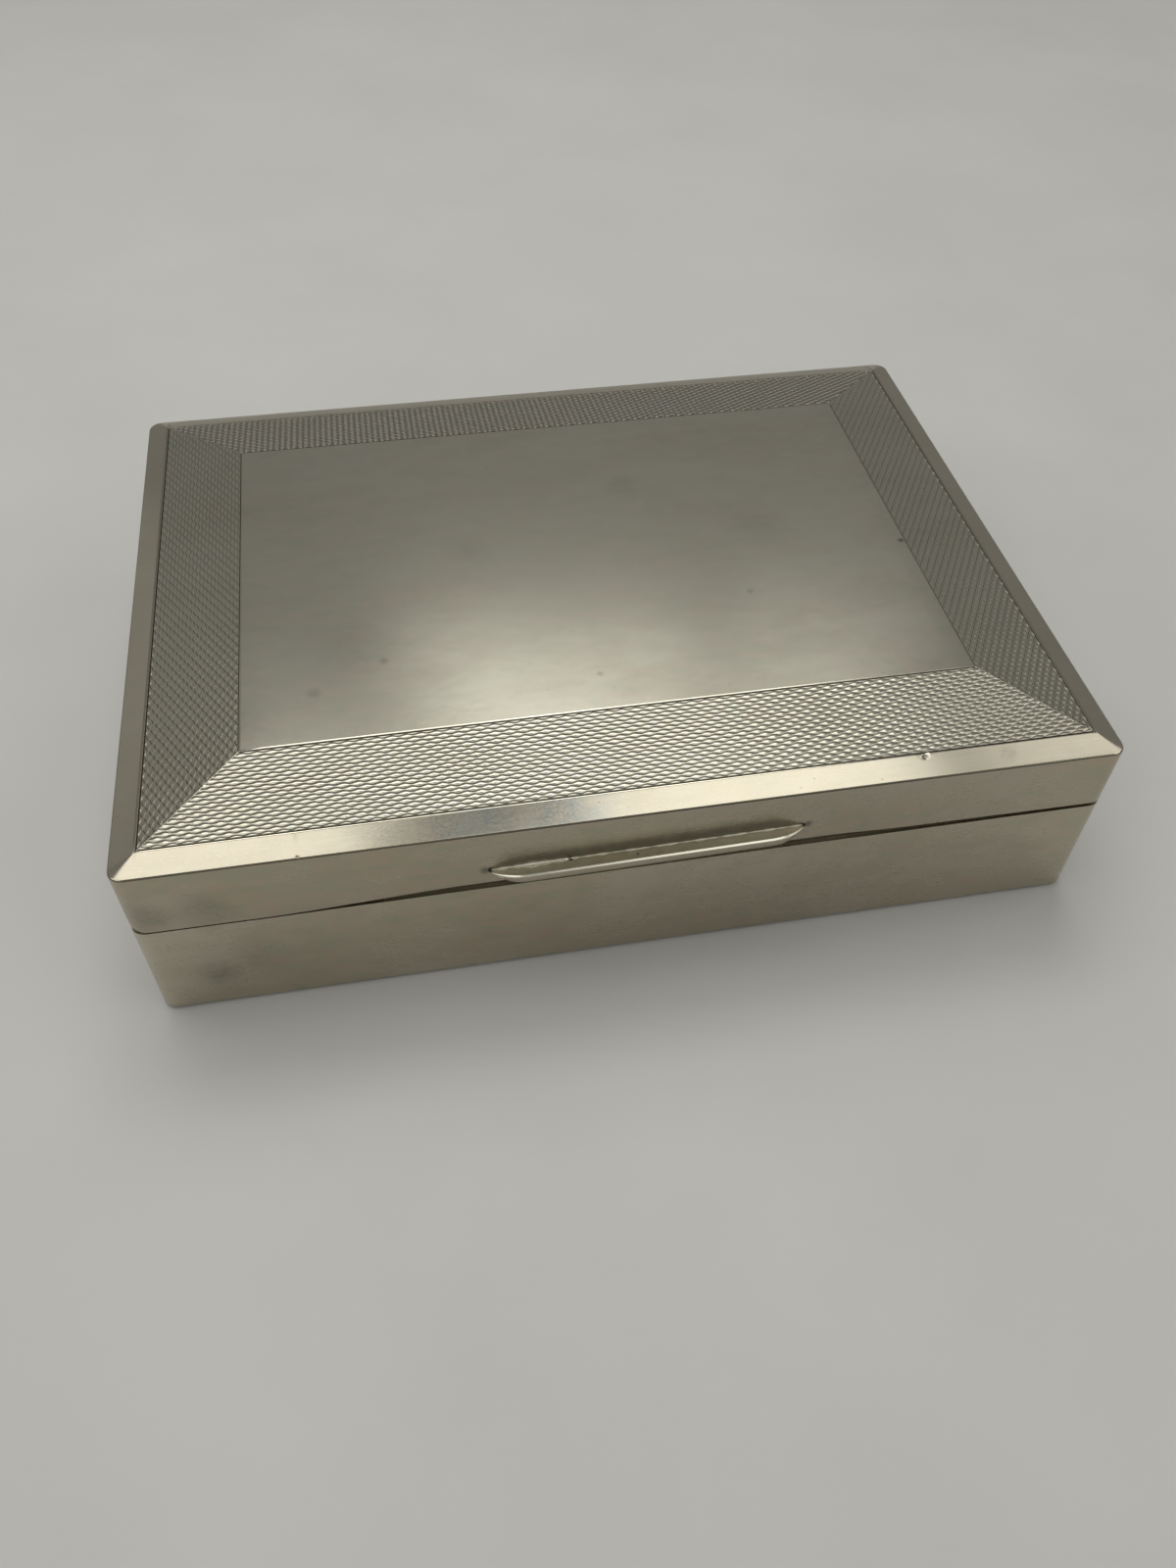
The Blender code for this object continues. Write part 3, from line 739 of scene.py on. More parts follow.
# %% Lid case: recess for the bands
RECESS_DEPTH = 0.3 * MM
RIM_ROUND = 0.1 * MM
RIM_STEPS = 3
BORDER_TILT = 0.3
SHOULDER_TILTS = (0.2, 0.8)


def height(face):
    """Height of a face's middle."""
    return face.calc_center_median().z


def plain_border(face):
    """True for a face of the plain border, shoulder and all."""
    return lid_edge - SHOULDER_RADIUS < height(face) < border_top and face.normal.z > BORDER_TILT


def shoulder(face):
    """True for the slanting faces between wall and border."""
    near = lid_edge - SHOULDER_RADIUS < height(face) < lid_edge + SHOULDER_RADIUS
    return near and SHOULDER_TILTS[0] < face.normal.z < SHOULDER_TILTS[1]


def side_ease(face):
    """True for the eased strip beside the bands at the left and right."""
    near = abs(height(face) - border_top + BORDER_EASE_RISE / 2) < BORDER_EASE_RISE
    return near and abs(face.normal.x) > STEEP


def outer_band(face):
    """True for an outer face of the sloping band."""
    return facing_up(face) and border_top < height(face) < lid_high.z - 2 * PANEL_EASE_RISE


def recess_rim(edge):
    """True for an edge where the recess starts to go down from an outer face."""
    steepness = sorted(abs(face.normal.z) for face in edge.link_faces)
    high = all(vertex.co.z > border_top - TOUCH for vertex in edge.verts)
    return high and steepness[0] < STEEP and steepness[-1] > LEVEL


def paint_chosen(piece, finish):
    """Give the chosen faces one of the piece's finishes."""
    piece.active_material_index = piece.data.materials.find(finish.name)
    bpy.ops.object.material_slot_assign()


for lid_finish in (lid_silver, blackened, lid_wall_tarnish_and_shade, border_silver_with_reflection, shoulder_painted_shade_silver):
    lid_case.data.materials.append(lid_finish)
edit(lid_case)
for is_part, part_finish in (
    (lambda face: height(face) < lid_edge, lid_wall_tarnish_and_shade), (plain_border, border_silver_with_reflection),
    (shoulder, shoulder_painted_shade_silver), (side_ease, lid_wall_tarnish_and_shade),
):
    choose(lid_case, "FACE", is_part)
    paint_chosen(lid_case, part_finish)
band_faces = choose(lid_case, "FACE", outer_band)
bpy.ops.mesh.extrude_region_move(TRANSFORM_OT_translate={"value": (0, 0, -RECESS_DEPTH)})
paint_chosen(lid_case, blackened)
rims = choose(lid_case, "EDGE", recess_rim)
bpy.ops.mesh.bevel(offset=RIM_ROUND, segments=RIM_STEPS, affect="EDGES")
leave()
print("band faces pressed in:", band_faces, "rim edges rounded:", rims)

# %% [markdown]
# Both cases are cut at the back for the hinge: a round groove in front of the tubes, open through the back
# wall. A cylinder and a block are the cutters, taken away with Boolean modifiers.

# %% Room for the hinge
CHANNEL_CLEARANCE = 0.5 * MM
CHANNEL_SIDES = 48
channel_reach = 1.1 * half_width

tube_low, tube_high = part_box("knuckle_base_1")
tube_radius = (tube_high.z - tube_low.z) / 2
hinge_y = (tube_low.y + tube_high.y) / 2
hinge_z = (tube_low.z + tube_high.z) / 2
channel_radius = tube_radius + CHANNEL_CLEARANCE


def cut_channel(piece):
    """Take the hinge's room out of a case."""
    bpy.ops.object.select_all(action="DESELECT")
    bpy.ops.mesh.primitive_cylinder_add(
        vertices=CHANNEL_SIDES, radius=channel_radius, depth=2 * channel_reach,
        location=(0, hinge_y, hinge_z), rotation=(0, math.pi / 2, 0))
    groove = bpy.context.object
    slot = start_block(
        "slot", Vector((-channel_reach, hinge_y, hinge_z - channel_radius)),
        Vector((channel_reach, hinge_y + 2 * channel_radius, hinge_z + channel_radius)))
    for cutter in (groove, slot):
        add_modifier(piece, "BOOLEAN", operation="DIFFERENCE", solver="EXACT", object=cutter)
        bpy.data.objects.remove(cutter)


cut_channel(lid_case)
print("hinge axis at", round(hinge_y / MM, 2), round(hinge_z / MM, 2))

# %% [markdown]
# The wear on the lid: one dent at the inner edge of the front border, right of the thumb ledge, and one nick
# in the shoulder at the left. A mark this small needs small faces, so the outer faces are cut into a fine net
# there and nowhere else.

# %% Lid case: fine nets for dent and nick
DENT_PLACE = Vector((47.7, -56.45, 37.85)) * MM
NICK_PLACE = Vector((-54.2, -60.25, 36.68)) * MM
FINE_CUT = 0.12 * MM
DENT_NET = (1.1 * MM, 1.25 * MM)
NICK_NET = (0.8 * MM, 0.7 * MM)


def fine_net(piece, centre, half_sizes):
    """Cut the outer faces within a small rectangle round a place into a fine net."""
    axes = (Vector((1, 0, 0)), Vector((0, 1, 0)))
    spans = [(axis, centre.dot(axis), half) for axis, half in zip(axes, half_sizes)]

    def outer(face):
        return face.normal.z > -STEEP and abs(height(face) - centre.z) < MM

    def touching(face):
        return outer(face) and all(
            min(v.co.dot(axis) for v in face.verts) < middle + half
            and max(v.co.dot(axis) for v in face.verts) > middle - half for axis, middle, half in spans)

    def inside(face):
        return outer(face) and all(
            abs(face.calc_center_median().dot(axis) - middle) < half for axis, middle, half in spans)

    edit(piece)
    for axis, middle, half in spans:
        for place in (middle - half, middle + half):
            choose(piece, "FACE", touching)
            bpy.ops.mesh.bisect(plane_co=axis * place, plane_no=axis)
    for axis, middle, half in spans:
        count = round(2 * half / FINE_CUT)
        for index in range(1, count):
            choose(piece, "FACE", inside)
            bpy.ops.mesh.bisect(plane_co=axis * (middle - half + 2 * half * index / count), plane_no=axis)
    faces = choose(piece, "FACE", inside)
    leave()
    return faces


nets = [fine_net(lid_case, DENT_PLACE, DENT_NET), fine_net(lid_case, NICK_PLACE, NICK_NET)]
print("faces in the two nets:", nets)

# %% [markdown]
# Each mark is then pushed in by proportional moves: the middle goes the whole way, and what lies round it
# follows less and less. The dent is a wide shallow push with two short sharp ones in it.

# %% Lid case: dent and nick
DENT_TAIL = Vector((47.75, -56.85, 37.6)) * MM
# Pushes: place, then the radius moved as one, the reach and the shift, in millimetres
DENT_PUSHES = (
    (DENT_PLACE, 0.16, 1.0, (0, 0, -0.08)), (DENT_PLACE, 0.13, 0.42, (0, 0, -0.17)),
    (DENT_TAIL, 0.13, 0.42, (0, 0, -0.17)),
)
NICK_PUSH = (NICK_PLACE, 0.14, 0.4, (0, 0.1, -0.1))


def push(piece, centre, core, reach, shift):
    """Move the vertices round a place, all of those in the core and fewer towards the reach."""
    edit(piece)
    moved = choose(piece, "VERT", lambda vertex: (vertex.co - centre).length < core * MM)
    if moved:
        bpy.ops.transform.translate(
            value=[step * MM for step in shift], use_proportional_edit=True,
            proportional_edit_falloff="SMOOTH", proportional_size=reach * MM)
    leave()
    return moved


pushed = [push(lid_case, *values) for values in (*DENT_PUSHES, NICK_PUSH)]
print("vertices pushed:", pushed)

# %% [markdown]
# A finished piece is shaded smooth but for its creases, and Weighted Normal keeps its flat faces flat beside
# the round edges. Then it is handed over: the body that it rides on, and the pieces of the frame that it
# stands for.

# %% Lid case: shading and handing over
FLAT_FACE_WEIGHT = 80
CREASE_ANGLE = 30


def smooth(piece, angle=CREASE_ANGLE):
    """Smooth shading that stays crisp past an angle, with flat faces kept flat beside round edges."""
    only(piece)
    bpy.ops.object.shade_smooth_by_angle(angle=math.radians(angle))
    add_modifier(piece, "WEIGHTED_NORMAL", keep_sharp=True, weight=FLAT_FACE_WEIGHT)


def finish_piece(piece, finish, body, slot, *nodes):
    """Give a piece its material, the body it rides on and the nodes it stands for; slot is not used."""
    if not piece.data.materials:
        piece.data.materials.append(finish)
    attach(piece, body)
    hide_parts(*nodes)
    print(f"{piece.name}: {len(piece.data.vertices)} vertices on {body}")


smooth(lid_case)
finish_piece(lid_case, lid_silver, "lid", "sheet_silver", "lid_shell")

# %% [markdown]
# Engine turning is cut on a rose engine: a V-shaped tool follows a wavy line, row after row, each row half a
# wave on from the last, so that pairs of lines pinch and part and leave rows of lens-shaped pillows. The
# wave is 2.4 mm long and the rows stand 0.7 mm apart. A bump would not show such deep cuts at this distance,
# so the relief is real: a grid whose rows follow the cut lines, sunk at each line and domed between. It
# starts as a grid primitive, whose vertices are moved by this rule.

# %% Engine turning: the rule
WAVE_LENGTH = 2.38 * MM
ROWS = 22
WAVE_SWING_SHARE = 0.24
CUT_DEPTH = 0.12 * MM
PILLOW_RISE = 0.07 * MM
SIDE_RELIEF_SHARE = 0.6
COLUMNS_PER_WAVE = 9
CUT_HALF_WIDTH = 0.09 * MM
LIP_SHARE_LIMIT = 0.45
OUTER_MARGIN = 0.14 * MM
INNER_MARGIN = 0.18 * MM
turned_width = BAND_WIDTH - OUTER_MARGIN - INNER_MARGIN
pitch = turned_width / ROWS
# Rise, depth and blackness as shares: cut, lip, flank, crest, flank and lip, up to the next cut
PROFILE_SHARES = (
    (0.0, 1.0, 1.0), (0.0, 0.1, 0.35), (0.75, 0.1, 0.0),
    (1.0, 0.1, 0.0), (0.75, 0.1, 0.0), (0.0, 0.1, 0.35),
)


def cut_line(index, along):
    """Distance of one cut line from the band's outer edge, at places along it."""
    if index == 0:
        return np.zeros_like(along)
    if index == ROWS + 1:
        return np.full_like(along, pitch * ROWS)
    swing = pitch * WAVE_SWING_SHARE * (-1) ** index
    return pitch * (index - 0.5) + swing * np.cos(2 * math.pi * along / WAVE_LENGTH)


def turned_surface(length, relief):
    """Grid of points (along, in, up) and of blackness from 0 to 1, row by row."""
    columns = int(length / WAVE_LENGTH * COLUMNS_PER_WAVE) + 1
    along = np.linspace(-length / 2, length / 2, columns)
    points, cuts = [], []
    for index in range(ROWS + 1):
        near, far = cut_line(index, along), cut_line(index + 1, along)
        size = (far - near) / (pitch * (1 + 2 * WAVE_SWING_SHARE))
        lip = np.clip(CUT_HALF_WIDTH / (far - near), 0.0, LIP_SHARE_LIMIT)
        flank = (lip + 0.5) / 2
        shares = (np.zeros_like(lip), lip, flank, np.full_like(lip, 0.5), 1 - flank, 1 - lip)
        for share, (dome, sunk, black) in zip(shares, PROFILE_SHARES):
            up = relief * PILLOW_RISE * dome * size - CUT_DEPTH * sunk
            points.append(np.stack([along, near + (far - near) * share, up], axis=1))
            cuts.append(np.full(columns, black))
    last = cut_line(ROWS + 1, along)
    points.append(np.stack([along, last, np.full_like(along, -CUT_DEPTH)], axis=1))
    cuts.append(np.ones(columns))
    return np.array(points), np.array(cuts)


print(f"{ROWS} rows {pitch / MM:.2f} mm apart, cut {CUT_DEPTH / MM:.2f} mm deep")

# %% [markdown]
# Each band is laid out flat, tilted to the lid's slope, cut at 45 degrees where it meets its neighbours, and
# given a thickness by extruding its rim down. It is modelled along the front and turned to its side. The
# blackness of each point is kept as the attribute that the silver's finish reads.

# %% Engine turning: the four bands
SLAB_DROP = 0.15 * MM
BAND_CREASE_ANGLE = 38
RIB_WIDTH = 0.22 * MM


def turned_band(name, finish, length, turn, edge_distance, relief=SIDE_RELIEF_SHARE):
    """One engine-turned band: length at its outer edge, quarter turns, and distance of that edge out."""
    points, cuts = turned_surface(length, relief)
    rows, columns = cuts.shape
    bpy.ops.object.select_all(action="DESELECT")
    bpy.ops.mesh.primitive_grid_add(x_subdivisions=columns - 1, y_subdivisions=rows - 1, size=1)
    band = bpy.context.object
    band.name = band.data.name = name
    points = points.reshape(-1, 3).copy()
    points[:, 1] += OUTER_MARGIN
    points[:, 2] += border_top + BAND_RISE * points[:, 1] / BAND_WIDTH
    points[:, 1] -= edge_distance
    band.data.vertices.foreach_set("co", points.astype(np.float32).ravel())
    depth = band.data.attributes.new("groove", "FLOAT", "POINT")
    depth.data.foreach_set("value", cuts.astype(np.float32).ravel())
    band.data.update()
    edit(band)
    for side in (-1, 1):
        bpy.ops.mesh.select_all(action="SELECT")
        corner = (side * (length / 2 - RIB_WIDTH), -edge_distance, 0)
        bpy.ops.mesh.bisect(plane_co=corner, plane_no=(side, 1, 0), clear_outer=True)
    choose(band, "EDGE", lambda edge: edge.is_boundary)
    bpy.ops.mesh.extrude_region_move(TRANSFORM_OT_translate={"value": (0, 0, -SLAB_DROP)})
    bpy.ops.mesh.edge_face_add()
    bpy.ops.mesh.select_all(action="SELECT")
    bpy.ops.mesh.normals_make_consistent(inside=False)
    bpy.ops.transform.rotate(value=-turn * math.pi / 2, orient_axis="Z", center_override=(0, 0, 0))
    bpy.ops.transform.translate(value=(0, middle_y, 0))
    leave()
    only(band)
    bpy.ops.object.shade_smooth_by_angle(angle=math.radians(BAND_CREASE_ANGLE))
    finish_piece(band, finish, "lid", "sheet_silver")
    return band


outer_length = 2 * (half_width - BORDER_WIDTH)
outer_depth = 2 * (half_depth - BORDER_WIDTH)
turned_band("turned_band_front", turned_silver, outer_length, 0, outer_depth / 2, 1.0)
turned_band("turned_band_right", side_silver, outer_depth, 1, outer_length / 2)
turned_band("turned_band_back", back_band_shaded_silver, outer_length, 2, outer_depth / 2)
turned_band("turned_band_left", side_silver, outer_depth, 3, outer_length / 2)

# %% [markdown]
# Between two bands a hair of plain silver is left standing along the mitre. Each of the four ribs is a thin
# block, laid along the corner's slope and softened.

# %% Engine turning: ribs along the mitres
RIB_DEPTH = 0.22 * MM
RIB_SOFTNESS = 0.06 * MM
RIB_STEPS = 3
RIB_START_SHARE = 0.004
RIB_LENGTH_SHARE = 0.994


def mitre_rib(name, side, end):
    """One rib, from the outer corner of the bands on one side and end to the panel's corner."""
    outer = Vector((side * outer_length / 2, middle_y + end * outer_depth / 2, border_top))
    inner = outer + Vector((-side * BAND_WIDTH, -end * BAND_WIDTH, BAND_RISE))
    along = (inner - outer) * RIB_LENGTH_SHARE
    low_end = Vector((0, -RIB_WIDTH / 2, -RIB_DEPTH))
    rib = start_block(name, low_end, Vector((along.length, RIB_WIDTH / 2, 0)))
    add_modifier(rib, "BEVEL", width=RIB_SOFTNESS, segments=RIB_STEPS)
    rib.rotation_euler = (0, -math.asin(BAND_RISE / along.length), math.atan2(along.y, along.x))
    rib.location = outer + along * RIB_START_SHARE
    only(rib)
    bpy.ops.object.transform_apply(location=True, rotation=True, scale=True)
    smooth(rib)
    finish_piece(rib, ledge_silver, "lid", "sheet_silver")


for rib_end, end_name in ((-1, "front"), (1, "back")):
    for rib_side, side_name in ((-1, "left"), (1, "right")):
        mitre_rib(f"mitre_rib_{end_name}_{side_name}", rib_side, rib_end)

# %% [markdown]
# The thumb ledge is a strip of silver, soldered to the lid's front wall a little out of level. The ledge and
# its solder are made in one way: a section is drawn as a circle's points, moved to their places, and extruded
# along the wall step by step. Each step is resized about the seam, which tapers the ends.

# %% Thumb ledge: a section swept along the wall
LEDGE_LEFT = Vector((-25.4, 27.6)) * MM
LEDGE_RIGHT = Vector((27.6, 28.75)) * MM
LEDGE_CREASE_ANGLE = 40


def sweep(name, section, stations, start, tilt):
    """Extrude a section (out, up) along the lid's front wall, resized at each station (place, size)."""
    bpy.ops.object.select_all(action="DESELECT")
    bpy.ops.mesh.primitive_circle_add(vertices=len(section), radius=MM, fill_type="NGON")
    piece = bpy.context.object
    piece.name = piece.data.name = name
    for vertex, (out, up) in zip(piece.data.vertices, section):
        vertex.co = start + Vector((stations[0][0], -out * stations[0][1], up * stations[0][1]))
    edit(piece)
    bpy.ops.mesh.select_all(action="SELECT")
    for (place, size), (next_place, next_size) in zip(stations, stations[1:]):
        bpy.ops.mesh.extrude_region_move(TRANSFORM_OT_translate={"value": (next_place - place, 0, 0)})
        ratio = next_size / size
        bpy.ops.transform.resize(value=(1, ratio, ratio), center_override=start)
    bpy.ops.mesh.select_all(action="SELECT")
    bpy.ops.mesh.normals_make_consistent(inside=False)
    bpy.ops.transform.rotate(value=tilt, orient_axis="Y", center_override=start)
    leave()
    only(piece)
    bpy.ops.object.shade_smooth_by_angle(angle=math.radians(LEDGE_CREASE_ANGLE))
    return piece


ledge_length = LEDGE_RIGHT.x - LEDGE_LEFT.x
ledge_tilt = math.atan2(LEDGE_RIGHT.y - LEDGE_LEFT.y, ledge_length)
ledge_start = Vector((LEDGE_LEFT.x, lid_low.y, LEDGE_LEFT.y))
print(f"ledge {ledge_length / MM:.1f} mm long, tilted {math.degrees(ledge_tilt):.2f} degrees")

# %% [markdown]
# The ledge itself is filed boat-shaped. Its top is hollow, its rim is rounded over with a narrow polished
# flat, and its underside runs back down to the wall. Its front and its underside get the lid wall's finish,
# tarnish with painted shade, so that they show darker than its top.

# %% Thumb ledge: the piece
END_LENGTH = 6.0 * MM
HOLLOW_OUT, HOLLOW_UP, HOLLOW_DIP = 2.05, 0.29, 0.04
HOLLOW_POINTS = 8
# Points (out, up) in millimetres, from the crest of the rim over its polished flat and back to the wall
RIM = (
    (2.05, 0.290), (2.11, 0.296), (2.17, 0.287), (2.50, 0.190), (2.54, 0.175), (2.61, 0.11), (2.65, 0.02),
    (2.67, -0.08), (2.67, -0.95), (2.63, -1.07), (2.52, -1.17), (1.2, -1.75), (0.4, -2.1), (0.0, -2.25),
)
# Places along a tapered end, from the tip in, as shares of its length
END_SHARES = (0.0, 0.04, 0.1, 0.18, 0.28, 0.4, 0.54, 0.7, 0.86, 1.0)
TIP_SIZE_SHARE = 0.04
TAPER_POWER = 0.75
MIDDLE_STEPS = 8


def ledge_section():
    """Points of the ledge's section, from the seam over the rim and back to the wall."""
    points = []
    for index in range(HOLLOW_POINTS):
        share = index / HOLLOW_POINTS
        rise = HOLLOW_UP * share - HOLLOW_DIP * math.sin(math.pi * share)
        points.append((HOLLOW_OUT * share * MM, rise * MM))
    return points + [(out * MM, up * MM) for out, up in RIM]


def ledge_stations(length):
    """Places along the ledge and the size of its section at each."""
    near = [(END_LENGTH * share, max(TIP_SIZE_SHARE, math.sin(math.pi / 2 * share) ** TAPER_POWER))
            for share in END_SHARES]
    straight = length - 2 * END_LENGTH
    middle = [(END_LENGTH + straight * step / MIDDLE_STEPS, 1.0) for step in range(1, MIDDLE_STEPS)]
    return near + middle + [(length - place, size) for place, size in reversed(near)]


# The faces given the wall's darker finish: tarnish and painted shade
def tarnished_and_shaded_part(face):
    """True for a face on the ledge's front or underside."""
    return face.normal.y < -LEVEL or face.normal.z < -STEEP


ledge = sweep("thumb_ledge", ledge_section(), ledge_stations(ledge_length), ledge_start, ledge_tilt)
for ledge_finish in (ledge_silver, lid_wall_tarnish_and_shade):
    ledge.data.materials.append(ledge_finish)
edit(ledge)
dull_faces = choose(ledge, "FACE", tarnished_and_shaded_part)
paint_chosen(ledge, lid_wall_tarnish_and_shade)
leave()
finish_piece(ledge, ledge_silver, "lid", "sheet_silver", "thumbpiece")
print("tarnished faces on the ledge:", dull_faces)

# %% [markdown]
# A thread of solder runs along the seam between ledge and wall: broad at the left, where more was fed in,
# then thin and broken, with one crack. It is a small round section swept along with uneven sizes.

# %% Solder seam
SEAM_RADIUS = 0.15 * MM
SEAM_OUT_SHARE = 0.3
SEAM_SIDES = 10
SEAM_STEPS = 160
SEAM_START_SHARE, SEAM_LENGTH_SHARE = 0.01, 0.98
SEAM_END = 2.2 * MM
BROAD_PLACE, BROAD_REACH, BROAD_SIZE = 8 * MM, 5 * MM, 1.5
CRACK_PLACE, CRACK_WIDTH, CRACK_SIZE = 13.4 * MM, 0.35 * MM, 0.15
EVEN_SIZE, LEAST_SIZE = 0.75, 0.2
# Swing, length and phase of each unevenness
UNEVEN = ((0.3, 0.9 * MM, 0.0), (0.25, 0.37 * MM, 1.0))


def seam_size(place):
    """Size of the solder thread at a place along the ledge."""
    broad = BROAD_SIZE * math.exp(-((place - BROAD_PLACE) / BROAD_REACH) ** 2)
    uneven = sum((swing * math.sin(place / length + phase) for swing, length, phase in UNEVEN), EVEN_SIZE)
    ends = min(1.0, place / SEAM_END, (ledge_length - place) / SEAM_END)
    cracked = CRACK_SIZE if abs(place - CRACK_PLACE) < CRACK_WIDTH else 1.0
    return max(LEAST_SIZE / 2, (max(LEAST_SIZE, uneven) + broad) * ends * cracked)


corners = [2 * math.pi * side / SEAM_SIDES for side in range(SEAM_SIDES)]
thread = [
    (SEAM_RADIUS * (SEAM_OUT_SHARE + math.cos(corner)), SEAM_RADIUS * (SEAM_OUT_SHARE + math.sin(corner)))
    for corner in corners]
seam_shares = [SEAM_START_SHARE + SEAM_LENGTH_SHARE * step / SEAM_STEPS for step in range(SEAM_STEPS + 1)]
seam_stations = [(ledge_length * share, seam_size(ledge_length * share)) for share in seam_shares]
solder_seam = sweep("solder_seam", thread, seam_stations, ledge_start, ledge_tilt)
# The solder is painted paler than the silver: a painted highlight along the seam
solder = satin_silver("solder_painted_pale", 0.22, "F4EEDC", 0.1, 0.0)
finish_piece(solder_seam, solder, "lid", "sheet_silver")

# %% [markdown]
# The base's case is a plain tray of the same sheet, with a flange turned in under the floor board. It is
# made the same way as the lid: a block with rounded corners, its top taken out, the foot of its walls
# rounded and its bottom opened but for the flange.

# %% Base case
FLANGE_WIDTH = 6.0 * MM
FOOT_RADIUS = 0.4 * MM
FOOT_STEPS = 3
BASE_CREASE_ANGLE = 35

base_case = start_block("base_case", base_low, base_high)
edit(base_case)
choose(base_case, "FACE", facing_up)
bpy.ops.mesh.delete(type="FACE")
choose(base_case, "EDGE", upright)
bpy.ops.mesh.bevel(offset=CORNER_RADIUS, segments=CORNER_STEPS, affect="EDGES")
choose(base_case, "EDGE", lambda edge: at_level(base_low.z, edge))
bpy.ops.mesh.bevel(offset=FOOT_RADIUS, segments=FOOT_STEPS, affect="EDGES")
choose(base_case, "FACE", facing_down)
flange_scale = [(half - FLANGE_WIDTH) / (half - FOOT_RADIUS) for half in (half_width, half_depth)]
bpy.ops.mesh.extrude_region_move()
bpy.ops.transform.resize(value=(*flange_scale, 1), center_override=(0, middle_y, base_low.z))
bpy.ops.mesh.delete(type="FACE")
leave()
cut_across(base_case, -last_cut, last_cut, CUT_SPACING)
bow_edge(base_case, BASE_LINE, base_high.z)
add_modifier(base_case, "SOLIDIFY", thickness=SHEET, offset=-1, use_even_offset=True)
cut_channel(base_case)
smooth(base_case, BASE_CREASE_ANGLE)
finish_piece(base_case, base_wall_tarnish_and_shade, "base", "sheet_silver", "base_shell")

# %% [markdown]
# Spanish cedar, planed and left bare so that it keeps its scent: red-brown, straight grained, with short
# dark pores and paler bands where it grew fast. The grain is a noise drawn out along the board, so boards
# that run across the box and boards that run front to back have their own finishes. Real pores are about
# 0.2 mm wide and are drawn wider, so that they show. Where cedar is glued to the silver it is painted grey:
# painted light, which shows in the shaded parting line between lid and base.

# %% Cedar
CEDAR_DARK = "6E3F25"
CEDAR_LIGHT = "A86C45"
PORE = "472615"
RING_SPACING = 2.6 * MM
PORE_WIDTH = 0.35 * MM
PORE_DEPTH = 0.05 * MM
SHADE_SIZE = 40 * MM
SHADE_STRENGTH, PORE_STRENGTH = 0.25, 0.7
GRAIN_STRETCH_SHARE = 0.04


def cedar(name, scale):
    """Planed cedar, its grain drawn out along the axis where scale is small."""
    finish, tree, shader, place = new_finish(name, 0.62)
    along = add_node(tree, "Mapping", {"Vector": place, "Scale": scale})
    rings = cloudy(tree, along, RING_SPACING, 3.0, 0.30, 0.70)
    pores = cloudy(tree, along, PORE_WIDTH, 2.0, 0.62, 0.74)
    shade = cloudy(tree, place, SHADE_SIZE, 2.0, 0.3, 0.7)
    colour = layered(tree, CEDAR_DARK, [
        (rings, 1, CEDAR_LIGHT), (shade, SHADE_STRENGTH, CEDAR_DARK), (pores, PORE_STRENGTH, PORE)])
    bump = add_node(tree, "Bump", {
        "Height": pores, "Distance": PORE_DEPTH, "Strength": 1.0}, invert=True)
    fill_inputs(tree, shader, {"Base Color": colour, "Normal": bump})
    return finish


# Grey for the liners' outer faces: painted light in the shaded parting line
parting_line_grey = clouded("cedar_painted_grey_for_parting_line", 0.7, 0.0, 4 * MM, "ABA595", "BDB6A5")
cedar_across = cedar("planed_cedar_across", (GRAIN_STRETCH_SHARE, 1, 1))
cedar_along = cedar("planed_cedar_front_to_back", (1, GRAIN_STRETCH_SHARE, 1))
print("cedar finishes:", cedar_across.name, cedar_along.name)

# %% [markdown]
# The boards of the frame have the right size but knife-sharp edges. Each is copied, its loose triangles are
# merged and its flat faces joined, and every edge gets the small round that sandpaper leaves.

# %% Softened copies
BOARD_EASE = 0.4 * MM
LID_BOARD_EASE = 0.3 * MM
FACET_ANGLE = 1
OUTWARD = 0.5


def softened(node, name, finish, body, slot, radius, steps=3, angle=30):
    """A copy of a frame piece with its edges rounded, which stands for it."""
    bpy.ops.object.select_all(action="DESELECT")
    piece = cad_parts[node].copy()
    piece.data = piece.data.copy()
    piece.data.materials.clear()
    piece.parent = None
    piece.matrix_world = Matrix.Identity(4)
    for key in list(piece.keys()):
        del piece[key]
    bpy.context.scene.collection.objects.link(piece)
    piece.name = piece.data.name = name
    edit(piece)
    bpy.ops.mesh.select_all(action="SELECT")
    bpy.ops.mesh.remove_doubles(threshold=TOUCH)
    bpy.ops.mesh.dissolve_limited(angle_limit=math.radians(FACET_ANGLE))
    leave()
    add_modifier(piece, "BEVEL", width=radius, segments=steps, limit_method="ANGLE",
                 angle_limit=math.radians(angle), use_clamp_overlap=True)
    smooth(piece)
    finish_piece(piece, finish, body, slot, node)
    return piece


def paint_outside_grey(piece):
    """Paint a liner's faces that are glued to the silver grey: painted light in the shaded parting line."""
    piece.data.materials.append(parting_line_grey)
    centre = sum((Vector(corner) for corner in piece.bound_box), Vector()) / len(piece.bound_box)
    sides = [Vector(side) for side in ((1, 0, 0), (-1, 0, 0), (0, 1, 0), (0, -1, 0))]
    out = max(sides, key=(centre - Vector((0, middle_y, 0))).dot)
    edit(piece)
    chosen = choose(piece, "FACE", lambda face: face.normal.dot(out) > OUTWARD)
    paint_chosen(piece, parting_line_grey)
    leave()
    return chosen


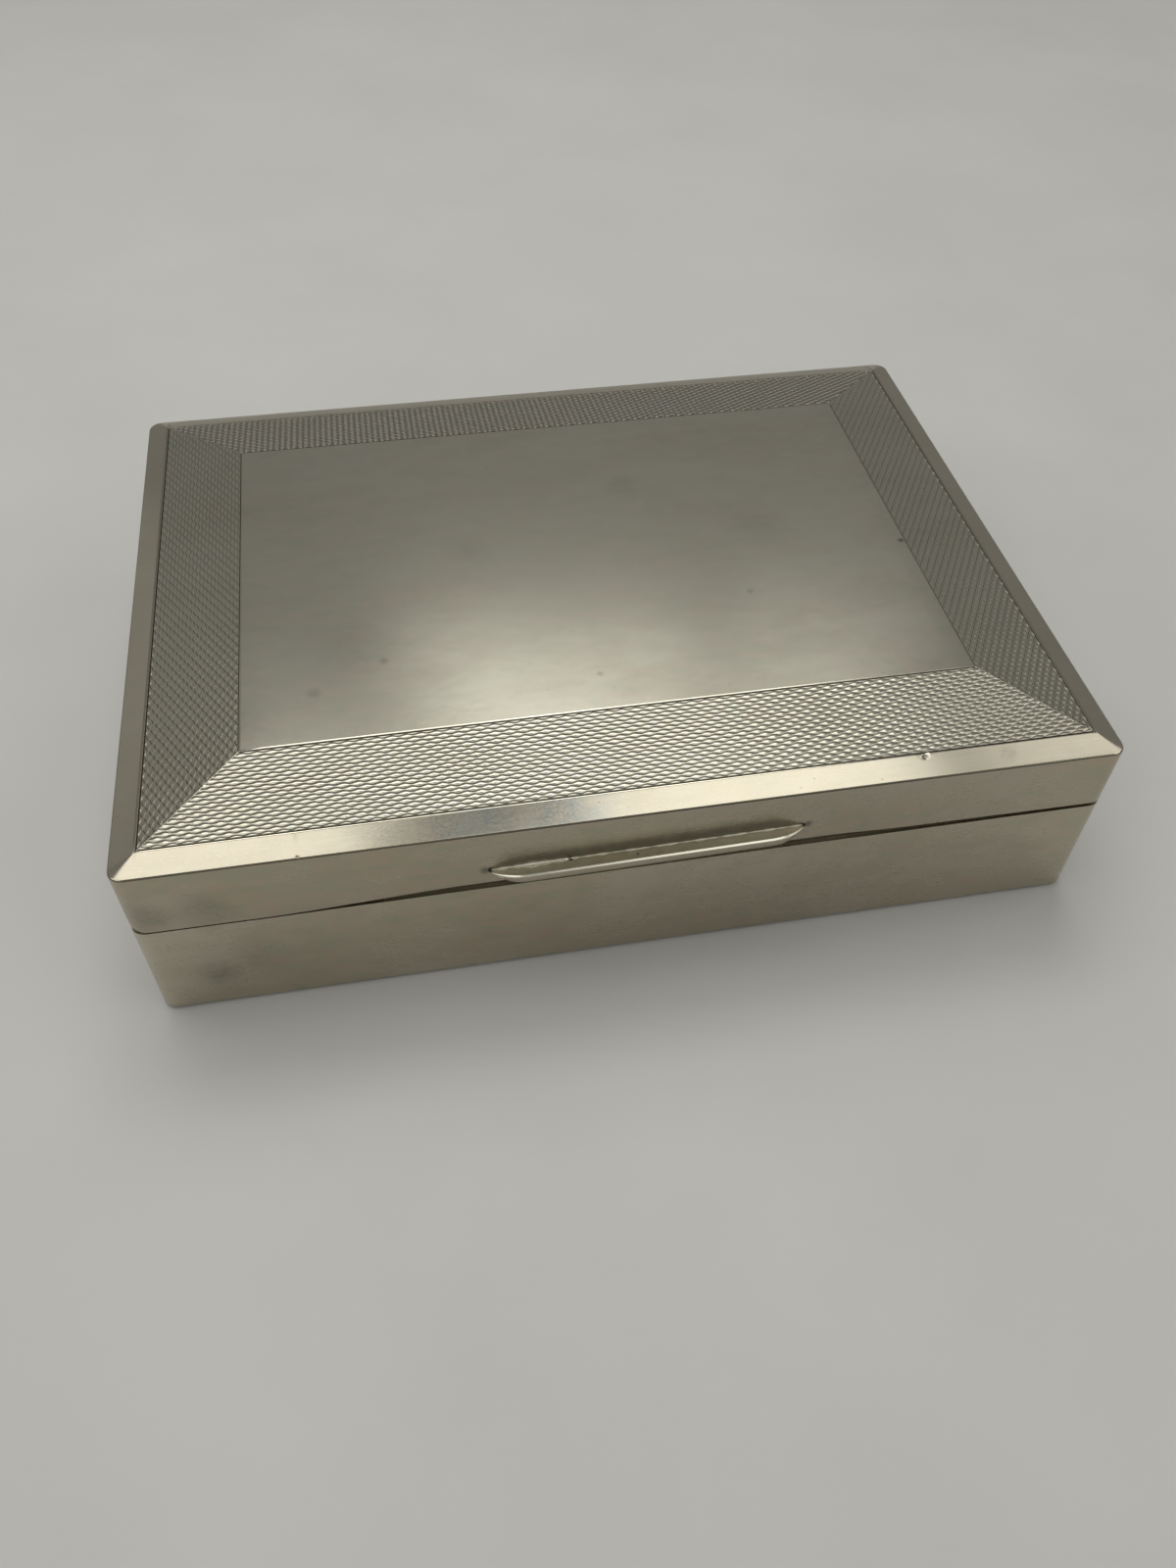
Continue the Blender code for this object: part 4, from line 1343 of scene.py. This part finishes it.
for node_name, board_finish in (
    ("base_board", cedar_across), ("liner_front", cedar_across), ("liner_back", cedar_across),
    ("liner_left", cedar_along), ("liner_right", cedar_along), ("partition", cedar_along),
):
    board = softened(node_name, "cedar_" + node_name, board_finish, "base", "cedar", BOARD_EASE)
    if node_name.startswith("liner"):
        print("stained faces:", paint_outside_grey(board))
softened("lid_board", "cedar_lid_board", cedar_across, "lid", "cedar", LID_BOARD_EASE, steps=2, angle=40)

# %% [markdown]
# The hinge: seven tubes drawn from silver strip, soldered by turns to a bearer in the base and one in the
# lid, with one brass wire through them all. The tubes' ends are eased so that they turn freely. Only edges
# past 50 degrees are eased, which leaves the facets of the round parts alone.

# %% Hinge
TUBE_EASE = 0.12 * MM
BEARER_EASE = 0.1 * MM
WIRE_EASE = 0.15 * MM
ROUND_PART = {"steps": 2, "angle": 50}

wire = clouded("drawn_brass_wire", 0.32, 1.0, 0.2 * MM, "B79A5E", "8E7443", detail=2.0, scale=(0.05, 1, 1))
for tube_body, tube_count in (("base", 4), ("lid", 3)):
    for number in range(1, tube_count + 1):
        softened(f"knuckle_{tube_body}_{number}", f"hinge_tube_{tube_body}_{number}", plain_silver,
                 tube_body, "hinge_silver", TUBE_EASE, **ROUND_PART)
for bearer_body in ("base", "lid"):
    softened("hinge_bearer_" + bearer_body, "bearer_" + bearer_body, plain_silver,
             bearer_body, "hinge_silver", BEARER_EASE, **ROUND_PART)
softened("hinge_pin", "hinge_wire", wire, "base", "pin_wire", WIRE_EASE, **ROUND_PART)

# %% [markdown]
# Under the box lies a pad of green baize: woolen cloth, fulled until its weave closes and raised to a short
# nap. It is one laid sheet, a little soft at its edge. Its fibres are finer than a render can show, so the
# nap is drawn in tufts of 0.5 mm.

# %% Baize pad
NAP_SIZE = 0.5 * MM
NAP_HEIGHT = 0.15 * MM
WORN_SIZE = 30 * MM
WORN_STRENGTH = 0.35
PAD_EASE = 0.35 * MM

baize, baize_tree, baize_shader, baize_place = new_finish("green_baize", 0.95)
nap = cloudy(baize_tree, baize_place, NAP_SIZE, 4.0, 0.3, 0.7)
worn = cloudy(baize_tree, baize_place, WORN_SIZE)
nap_bump = add_node(baize_tree, "Bump", {"Height": nap, "Distance": NAP_HEIGHT, "Strength": 1.0})
fill_inputs(baize_tree, baize_shader, {
    "Base Color": layered(baize_tree, "23432F", [(nap, 1, "355E43"), (worn, WORN_STRENGTH, "56704F")]),
    "Normal": nap_bump, "Sheen Weight": 0.4})
pad = softened("baize_pad", "baize_sheet", baize, "base", "baize", PAD_EASE, angle=50)
